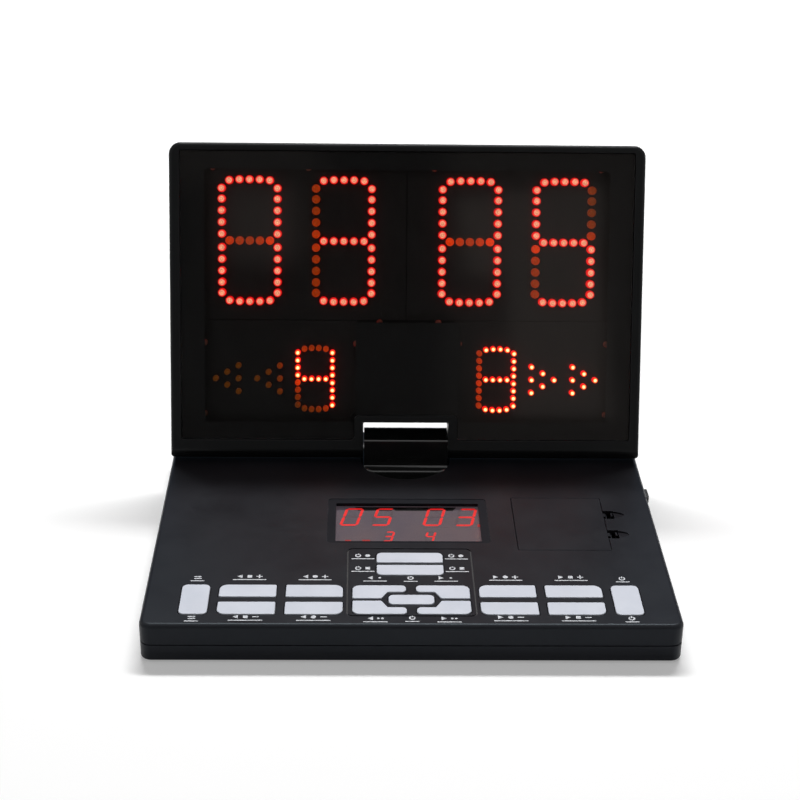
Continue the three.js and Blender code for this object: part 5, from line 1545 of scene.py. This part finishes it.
def notch(grow, low, high):
    """The cut in the lid's lower edge that clears the hinge block."""
    reach = BLOCK_REACH - BLOCK_INSET + NOTCH_GAP
    radii = (0, 0, NOTCH_CORNER, NOTCH_CORNER)
    ring = rectangle(-reach, -LID_BACK - 2 * OVERRUN, reach, NOTCH_TOP - NOTCH_GAP / 2, radii)
    return prism(outline(ring, grow), low, high)


def lid_room(inset, low, high):
    """The free space inside a lid shell whose wall is the inset."""
    under, over = low - OVERRUN, high + OVERRUN
    foot = block(-2 * CASE_REACH, -LID_FRONT - 2 * OVERRUN, under, 2 * CASE_REACH, inset - LID_FRONT, over)
    room = boolean(prism(outline(LID, -inset), low, high), [foot])
    return boolean(room, [notch(inset, under, over)])


PIN_BOSS = 4.6
PIN_BORE = 2.15
PIN_BOSS_REACH = 11.8
LID_SCREWS = [(-133.4, 6), (133.4, 6), (-133.4, 168), (133.4, 168)]


def pin_bosses(radius, inner, outer):
    """Rounds about the tilt axis on both sides of the notch."""
    section = circle(radius, SMALL_SIDES)
    return [along_x(prism(section, low, high)) for low, high in ((-outer, -inner), (inner, outer))]


def lid_half(seam, face, rounding):
    """One half of the lid's case from its seam to its face, still solid."""
    layers = rounded_layers(LID, seam, face, rounding)
    return boolean(loft(layers), [side_profile(LID_FRONT, SLOPE_START, -LID_BACK)], "INTERSECT")


def lid_frame():
    """The front half: a border with a ledge for the window, the notch and its pin bosses."""
    shell = lid_half(-SEAM, LID_FRONT, LID_FRONT_ROUND)
    ledge_face = PLATE_FACE - PLATE_THICKNESS - TURNED_GAP
    room = lid_room(WALL, -SEAM - OVERRUN, ledge_face - LEDGE_THICKNESS)
    slope = side_profile(LID_FRONT - WALL, FRAME_ROOM_SLOPE, -LID_BACK + OVERRUN)
    shell = boolean(shell, [boolean(room, [slope], "INTERSECT")])
    shell = boolean(shell, [opening(PLATE, 0, ledge_face, LID_FRONT)])
    shell = boolean(shell, [prism(outline(PLATE, -LEDGE), -SEAM - OVERRUN, LID_FRONT)])
    shell = boolean(shell, [notch(0, -LID_BACK - OVERRUN, LID_FRONT + 2 * OVERRUN)])
    outer = NOTCH_REACH + PIN_BOSS_REACH
    shell = boolean(shell, pin_bosses(PIN_BOSS, NOTCH_REACH, outer), "UNION")
    return boolean(shell, pin_bosses(PIN_BORE, NOTCH_REACH - OVERRUN, outer + OVERRUN))


def lid_rear_cover():
    """The back half, with recesses for its screws and room for the pin bosses."""
    seam = -SEAM - TURNED_GAP
    shell = lid_half(seam, -LID_BACK, LID_BACK_ROUND)
    room = lid_room(COVER_WALL, -LID_BACK + COVER_WALL, seam + OVERRUN)
    slope = side_profile(LID_FRONT - COVER_WALL, COVER_ROOM_SLOPE, -LID_BACK + OVERRUN)
    shell = boolean(shell, [boolean(room, [slope], "INTERSECT")])
    shell = boolean(shell, [notch(0, -LID_BACK - 2 * OVERRUN, LID_FRONT)])
    heads = [circle(SCREW_HEAD + HEAD_ROOM, SMALL_SIDES, x, y) for x, y in LID_SCREWS]
    shell = boolean(shell, [prism(head, -LID_BACK - OVERRUN, -LID_BACK + HEAD_RECESS) for head in heads])
    outer = NOTCH_REACH + PIN_BOSS_REACH + TURNED_GAP
    return boolean(shell, pin_bosses(PIN_BOSS + TURNED_GAP, NOTCH_REACH - OVERRUN, outer))


def lid_window():
    """A plate with fine broken edges."""
    low = PLATE_FACE - PLATE_THICKNESS
    face, side = outline(PLATE, -TURNED_GAP - PLATE_EDGE), outline(PLATE, -TURNED_GAP)
    return loft([(face, low), (side, low + PLATE_EDGE), (side, PLATE_FACE - PLATE_EDGE), (face, PLATE_FACE)])


# Black print on the window's back: a border, and the middle below the digits
CLEAR_REACH = 119.6
CLEAR_FOOT = 15.4
CLEAR_TOP = 164.8
TAB_LEFT = 30
TAB_RIGHT = 32.3
TAB_TOP = 75
CLEAR_CORNER = 2
CLEAR = [(x, y, CLEAR_CORNER) for x, y in (
    (-CLEAR_REACH, CLEAR_FOOT), (-TAB_LEFT, CLEAR_FOOT), (-TAB_LEFT, TAB_TOP), (TAB_RIGHT, TAB_TOP),
    (TAB_RIGHT, CLEAR_FOOT), (CLEAR_REACH, CLEAR_FOOT), (CLEAR_REACH, CLEAR_TOP), (-CLEAR_REACH, CLEAR_TOP))]
PRINT_GAP = 0.02
PRINT_INSET = 0.3
PRINT_SHEET = 0.08


def window_print():
    """The black border, with its opening for the digits."""
    high = PLATE_FACE - PLATE_THICKNESS - PRINT_GAP
    sheet = prism(outline(PLATE, -TURNED_GAP - PRINT_INSET), high - PRINT_SHEET, high)
    return boolean(sheet, [prism(outline(CLEAR), high - OVERRUN, high + OVERRUN)])


def make_lid():
    piece("lid_front_frame", lid_frame(), ON_LID, "lid", lid_black, ["lid_frame"])
    piece("lid_back_cover", lid_rear_cover(), ON_LID, "lid", lid_black, ["lid_rear_cover"])
    piece("lid_pane", lid_window(), ON_LID, "lid", lid_smoke, ["lid_window"])
    piece("lid_pane_print", window_print(), ON_LID, "lid", print_and_painted_shade_black)


# Lamps: places by shares of the window, levels by what each digit shows
WINDOW_HALF = CASE_REACH - BORDER
WINDOW_HEIGHT = FRONT_REACH - TOP_BORDER - WINDOW_FOOT
BIG_ROW = WINDOW_FOOT + 0.69 * WINDOW_HEIGHT
SMALL_ROW = WINDOW_FOOT + 0.209 * WINDOW_HEIGHT
BIG = {"reach": 16.5, "rise": 36,
       "rows": (-0.724, -0.362, 0, 0.362, 0.724), "columns": (0.111, 0.303, 0.494, 0.683, 0.858)}
SMALL = {"reach": 10.35, "rise": 18.45,
         "rows": (-0.618, -0.206, 0.206, 0.618), "columns": (0.125, 0.366, 0.607, 0.856)}
ARROW_COLUMN = 6.8
ARROW_ROW = 7.8
BIG_SHOWN = ((-0.6965, "0"), (-0.28, "3"), (0.28, "0"), (0.6965, "5"))
SMALL_SHOWN = ((-0.406, "4"), (0.406, "3"))
ARROWS = ((-0.799, -1, False), (-0.6144, -1, False), (0.6144, 1, True), (0.799, 1, True))
ROW_END_DROP = 0.5
# Painted glow on unlit lamps near lit ones: its reach and share
LAMP_SPILL = 8
SPILL_SHARE = 0.021
LEVEL_LIT = 3.0
LEVEL_UNLIT = 2.5
BIG_LAMP = 2.55
BIG_DOME = 2.2
SMALL_LAMP = 1.75
SMALL_DOME = 1.4
LAMP_SUNK = 0.2
LAMP_SEGMENTS = 12
LAMP_RINGS = 7


def digit_lamps(x, y, size, shown):
    """Lamps of one digit, each as its place and whether it is lit: rows first, then columns."""
    reach, rise = size["reach"], size["rise"]
    lit = SEGMENTS[shown]
    lamps = []
    for name, level in (("d", -1), ("g", 0), ("a", 1)):
        for share in size["rows"]:
            inward = ROW_END_DROP if abs(share) == max(size["rows"]) else 0
            lamps.append((x + share * reach, y + level * (rise - inward), name in lit))
    for name, side, level in (("e", -1, -1), ("f", -1, 1), ("c", 1, -1), ("b", 1, 1)):
        lamps += [(x + side * reach, y + level * share * rise, name in lit) for share in size["columns"]]
    return lamps


def arrow_lamps(x, y, side, lit):
    """Three columns of lamps that narrow to a point."""
    lamps = []
    for column, count in enumerate((3, 2, 1)):
        lamps += [(x + side * (column - 1) * ARROW_COLUMN, y + (i - (count - 1) / 2) * ARROW_ROW, lit)
                  for i in range(count)]
    return lamps


def big_lamps():
    lamps = []
    for share, shown in BIG_SHOWN:
        lamps += digit_lamps(share * WINDOW_HALF, BIG_ROW, BIG, shown)
    return lamps


def small_lamps():
    lamps = []
    for share, shown in SMALL_SHOWN:
        lamps += digit_lamps(share * WINDOW_HALF, SMALL_ROW, SMALL, shown)
    for share, side, lit in ARROWS:
        lamps += arrow_lamps(share * WINDOW_HALF, SMALL_ROW, side, lit)
    return lamps


def lamp_level(lamp, lamps):
    """A lit lamp's level is fixed; an unlit one gets a painted glow for the light of lit lamps near it."""
    if lamp[2]:
        return LEVEL_LIT
    reaches = [((lamp[0] - x) ** 2 + (lamp[1] - y) ** 2) / LAMP_SPILL ** 2 for x, y, lit in lamps if lit]
    return min(SPILL_SHARE * sum(1 / (1 + reach) for reach in reaches) ** 3, LEVEL_UNLIT)


def lamp_tree():
    """Rounded lamps on a mesh's points, each with its level, its tip's brightness and its material."""
    tree, given, out = node_tree(
        "GeometryNodeTree", "lamps",
        [("Geometry", "Geometry"), ("Radius", "Float"), ("Dome", "Float"), ("Body", "Float"),
         ("Lit", "Material"), ("Unlit", "Material")],
        [("Geometry", "Geometry")])
    ball = add_node(tree, "GeometryNodeMeshUVSphere")
    feed(tree, ball, Segments=LAMP_SEGMENTS, Rings=LAMP_RINGS, Radius=given.outputs["Radius"])
    place = add_node(tree, "GeometryNodeInputPosition").outputs[0]
    split = feed(tree, add_node(tree, "ShaderNodeSeparateXYZ"), Vector=place)
    share = math_node(tree, "DIVIDE", split.outputs["Z"], given.outputs["Radius"])
    upper = math_node(tree, "MAXIMUM", share, 0.0)
    tip = add_node(tree, "GeometryNodeStoreNamedAttribute", data_type="FLOAT", domain="POINT")
    feed(tree, tip, Name="tip", Geometry=ball.outputs["Mesh"], Value=upper)
    above = math_node(tree, "MULTIPLY", upper, given.outputs["Dome"])
    below = math_node(tree, "MULTIPLY", math_node(tree, "LESS_THAN", share, -0.1), given.outputs["Body"])
    height = math_node(tree, "SUBTRACT", above, math_node(tree, "ADD", below, given.outputs["Dome"]))
    straight = add_node(tree, "ShaderNodeCombineXYZ")
    feed(tree, straight, X=split.outputs["X"], Y=split.outputs["Y"], Z=height)
    shaped = add_node(tree, "GeometryNodeSetPosition")
    feed(tree, shaped, Geometry=tip.outputs["Geometry"], Position=straight.outputs[0])
    smooth = feed(tree, add_node(tree, "GeometryNodeSetShadeSmooth"), Geometry=shaped.outputs[0])
    points = add_node(tree, "GeometryNodeInstanceOnPoints")
    feed(tree, points, Points=given.outputs["Geometry"], Instance=smooth.outputs[0])
    real = feed(tree, add_node(tree, "GeometryNodeRealizeInstances"), Geometry=points.outputs[0])
    level = feed(tree, add_node(tree, "GeometryNodeInputNamedAttribute", data_type="FLOAT"), Name="level")
    dark = add_node(tree, "GeometryNodeSetMaterial")
    feed(tree, dark, Geometry=real.outputs[0], Material=given.outputs["Unlit"])
    bright = add_node(tree, "GeometryNodeSetMaterial")
    is_lit = math_node(tree, "GREATER_THAN", level.outputs["Attribute"], (LEVEL_LIT + LEVEL_UNLIT) / 2)
    feed(tree, bright, Geometry=dark.outputs[0], Material=given.outputs["Lit"], Selection=is_lit)
    feed(tree, out, Geometry=bright.outputs[0])
    return tree


def set_inputs(modifier, **values):
    """Sets a Geometry Nodes modifier's inputs by their sockets' identifiers."""
    for item in modifier.node_group.interface.items_tree:
        if item.in_out == "INPUT" and item.name in values:
            modifier[item.identifier] = values[item.name]


def grown_lamps(lamps, radius, dome, tree, lit):
    """One mesh of lamps that stand on the lamp board."""
    mesh = bpy.data.meshes.new("lamp_points")
    mesh.from_pydata([(x, y, LAMP_TIP) for x, y, _ in lamps], [], [])
    level = mesh.attributes.new("level", "FLOAT", "POINT")
    level.data.foreach_set("value", [lamp_level(lamp, lamps) for lamp in lamps])
    thing = carrier(mesh)
    modifier = thing.modifiers.new("lamps", "NODES")
    modifier.node_group = tree
    set_inputs(modifier, Radius=radius, Dome=dome, Body=LAMP_TIP - LAMP_BOARD_FACE - dome + LAMP_SUNK,
               Lit=lit, Unlit=lamp_dark)
    return baked(thing)


BOARD_LAP = 1.8
BOARD_EDGE = 11
BOARD_SPLIT = 1
BOARD_ROOM = 2
BOARD_CORNER = 0.8
BOARD_SCREWS = [(-115.3, 165.9), (115.3, 165.9), (-58.6, 165.9), (16, 165.9), (-15.9, 74.3), (19.3, 74.3),
                (-120.6, 61.9), (120.6, 61.9), (-29.8, 61.4), (31.8, 61.7), (-120.8, 19), (120.8, 19)]


def board_boxes():
    """Each lamp board's left, low, right and high edges."""
    outer = CLEAR_REACH + BOARD_LAP
    low, high = BIG_ROW - BIG["rise"] - BOARD_EDGE, CLEAR_TOP + BOARD_LAP
    small_inner = NOTCH_REACH + BOARD_ROOM + BOARD_SPLIT
    small_low, small_high = CLEAR_FOOT - 2 * BOARD_LAP, low - BOARD_SPLIT / 2
    return {
        "display_board_upper_left": (-outer, low, -BOARD_SPLIT / 4, high),
        "display_board_upper_right": (BOARD_SPLIT / 4, low, outer, high),
        "display_board_lower_left": (-outer, small_low, -small_inner, small_high),
        "display_board_lower_right": (small_inner, small_low, outer, small_high),
    }


def make_lamps():
    tree = lamp_tree()
    for name, box in board_boxes().items():
        ring = outline(rectangle(*box, BOARD_CORNER))
        plate = prism(ring, LAMP_BOARD_FACE - BOARD_THICKNESS, LAMP_BOARD_FACE)
        piece(name.replace("display", "lamp"), plate, ON_LID, "lid", lamp_board, [name])
    groups = (("large_lamps", big_lamps(), BIG_LAMP, BIG_DOME, lamp_large),
              ("small_lamps", small_lamps(), SMALL_LAMP, SMALL_DOME, lamp_small))
    for name, lamps, radius, dome, lit in groups:
        mesh = grown_lamps(lamps, radius, dome, tree, lit)
        mesh.transform(ON_LID)
        dressed(name, mesh, "lid", None)


# Studio, in metres; boards are (left, low, right, high)
FLOOR_SPREAD = 30
FLOOR_THICKNESS = 0.02
FLOOR_PALE = 0.80
FLOOR_NEAR = 0.9
FLOOR_FAR = 3.0
FLOOR_LIFT = 0.28
SKY_FILL = 0.14
BOARD_HALF = 0.02
WINDOW_FLAG = (-0.5, 0.26, 0.6, 1.0)
WINDOW_FLAG_Y = -1.7
BACKDROP = (-1.8, 0.01, 1.8, 1.7)
BACKDROP_Y = 1.3
# Patches of the mirrored room: left, right, low, high, softness and brightness
ROOM_PATCHES = (
    (0.21, 0.385, 0.39, 0.80, 0.015, 0.55), (-0.25, -0.13, 0.67, 0.80, 0.025, 0.44),
    (-0.5, -0.09, 0.80, 1.1, 0.03, 0.14), (0.12, 0.7, 0.20, 1.1, 0.03, 0.15),
    (0.14, 0.22, 0.64, 0.79, 0.02, 0.60))
ROOM_DARK = 0.03
ROOM_WOBBLE = 0.01
# Softboxes, which all face the scoreboard: name, place, width and height, brightness
SOFT_LAMPS = (
    ("key", (0.1, 1.16, 2.25), (1.4, 0.2), 68),
    ("overhead", (-0.1, -0.2, 2.2), (0.8, 0.6), 1.6),
    ("front", (0.1, -2.2, 0.55), (1.4, 0.5), 0.7))


def seen_directly(tree):
    """1 for what the camera, a mirror or a clear sheet shows; 0 for light that falls on things."""
    path = add_node(tree, "ShaderNodeLightPath")
    seen = path.outputs["Is Camera Ray"]
    for ray in ("Is Glossy Ray", "Is Transmission Ray"):
        seen = math_node(tree, "MAXIMUM", seen, path.outputs[ray])
    return seen


def make_floor():
    """A pale floor that keeps shadows near the scoreboard and turns white far away."""
    finish = Finish("floor", Specular_IOR_Level=0.0, Roughness=0.9)
    tree = finish.tree
    tone = remap(tree, noise(tree, finish.place, 3.0, 3.0), 0.3, 0.7)
    pale = rgba(FLOOR_PALE, FLOOR_PALE, FLOOR_PALE)
    finish.set(Base_Color=mix_colour(tree, tone, shade(pale, 0.985), pale))
    lift = add_node(tree, "ShaderNodeEmission")
    away = add_node(tree, "ShaderNodeVectorMath", operation="LENGTH")
    tree.links.new(finish.place, away.inputs[0])
    level = remap(tree, away.outputs["Value"], FLOOR_NEAR, FLOOR_FAR, FLOOR_LIFT, 1.0)
    tree.links.new(math_node(tree, "MULTIPLY", seen_directly(tree), level), lift.inputs["Strength"])
    both = add_node(tree, "ShaderNodeAddShader")
    tree.links.new(finish.shader.outputs[0], both.inputs[0])
    tree.links.new(lift.outputs[0], both.inputs[1])
    tree.links.new(both.outputs[0], tree.nodes["Material Output"].inputs["Surface"])
    spread = outline(rectangle(-FLOOR_SPREAD, -FLOOR_SPREAD, FLOOR_SPREAD, FLOOR_SPREAD))
    floor = carrier(prism(spread, -FLOOR_THICKNESS, 0), "floor")
    floor.data.materials.append(finish.material)


def make_world():
    """White where it is seen, and dim where it only lights things."""
    world = bpy.data.worlds.new("studio")
    world.use_nodes = True
    bpy.context.scene.world = world
    tree = world.node_tree
    strength = remap(tree, seen_directly(tree), 0.0, 1.0, SKY_FILL, 1.0)
    feed(tree, tree.nodes["Background"], Strength=strength, Color=rgba(1, 1, 1))


def soft_lamp(name, place, size, radiance):
    """A softbox of the given width, height and plain brightness, turned to the scoreboard."""
    data = bpy.data.lights.new(name, "AREA")
    data.shape = "RECTANGLE"
    data.size, data.size_y = size
    data.energy = radiance * math.pi * size[0] * size[1]
    lamp = bpy.data.objects.new(name, data)
    lamp.location = place
    lamp.rotation_euler = (-Vector(place)).to_track_quat("-Z", "Y").to_euler()
    bpy.context.scene.collection.objects.link(lamp)


def reflected_board(name, box, y, light):
    """An upright board that only shiny surfaces show; light builds its brightness from its nodes."""
    finish = Finish(name, Specular_IOR_Level=0.0, Roughness=0.9)
    finish.set(Base_Color=rgba(0, 0, 0), Emission_Color=light(finish), Emission_Strength=1.0)
    left, low, right, high = box
    board = carrier(prism(outline(rectangle(left, -BOARD_HALF, right, BOARD_HALF)), low, high), name)
    board.data.transform(Matrix.Translation((0, y, 0)))
    board.data.materials.append(finish.material)
    for ray in ("camera", "diffuse", "transmission", "shadow"):
        setattr(board, "visible_" + ray, False)


def window_mirror(finish):
    """What the lid's window mirrors: a dim room with a paler patch at the right and one above left."""
    tree = finish.tree
    across = feed(tree, add_node(tree, "ShaderNodeSeparateXYZ"), Vector=finish.place)
    wobble = remap(tree, noise(tree, finish.place, 4.0), 0.3, 0.7, -ROOM_WOBBLE, ROOM_WOBBLE)
    x, z = (math_node(tree, "ADD", across.outputs[name], wobble) for name in "XZ")

    def patch(left, right, low, high, soft, value):
        shares = [remap(tree, x, left - soft, left + soft), remap(tree, x, right + soft, right - soft),
                  remap(tree, z, low - soft, low + soft), remap(tree, z, high + soft, high - soft)]
        for share in shares:
            value = math_node(tree, "MULTIPLY", share, value)
        return value

    tone = 0.0
    for box in ROOM_PATCHES:
        tone = math_node(tree, "MAXIMUM", tone, patch(*box))
    return mix_colour(tree, math_node(tree, "ADD", tone, ROOM_DARK), rgba(0, 0, 0), rgba(1.0, 0.86, 0.78))


def backdrop_mirror(finish):
    """A cool grey that the deck's sides mirror past the lid."""
    tone = remap(finish.tree, noise(finish.tree, finish.place, 1.0, 2.0), 0.3, 0.7)
    return mix_colour(finish.tree, tone, rgba(0.10, 0.145, 0.20), rgba(0.13, 0.18, 0.24))


def make_studio():
    make_floor()
    make_world()
    reflected_board("window_flag", WINDOW_FLAG, WINDOW_FLAG_Y, window_mirror)
    reflected_board("backdrop_grey", BACKDROP, BACKDROP_Y, backdrop_mirror)
    for name, place, size, radiance in SOFT_LAMPS:
        soft_lamp(name, place, size, radiance)


make_camera()
dress_frame()
make_studio()
make_base()
make_keys()
make_labels()
make_operator_display()
make_small_pieces()
make_hinge()
make_lid()
make_lamps()

bpy.context.scene.view_settings.view_transform = "Standard"
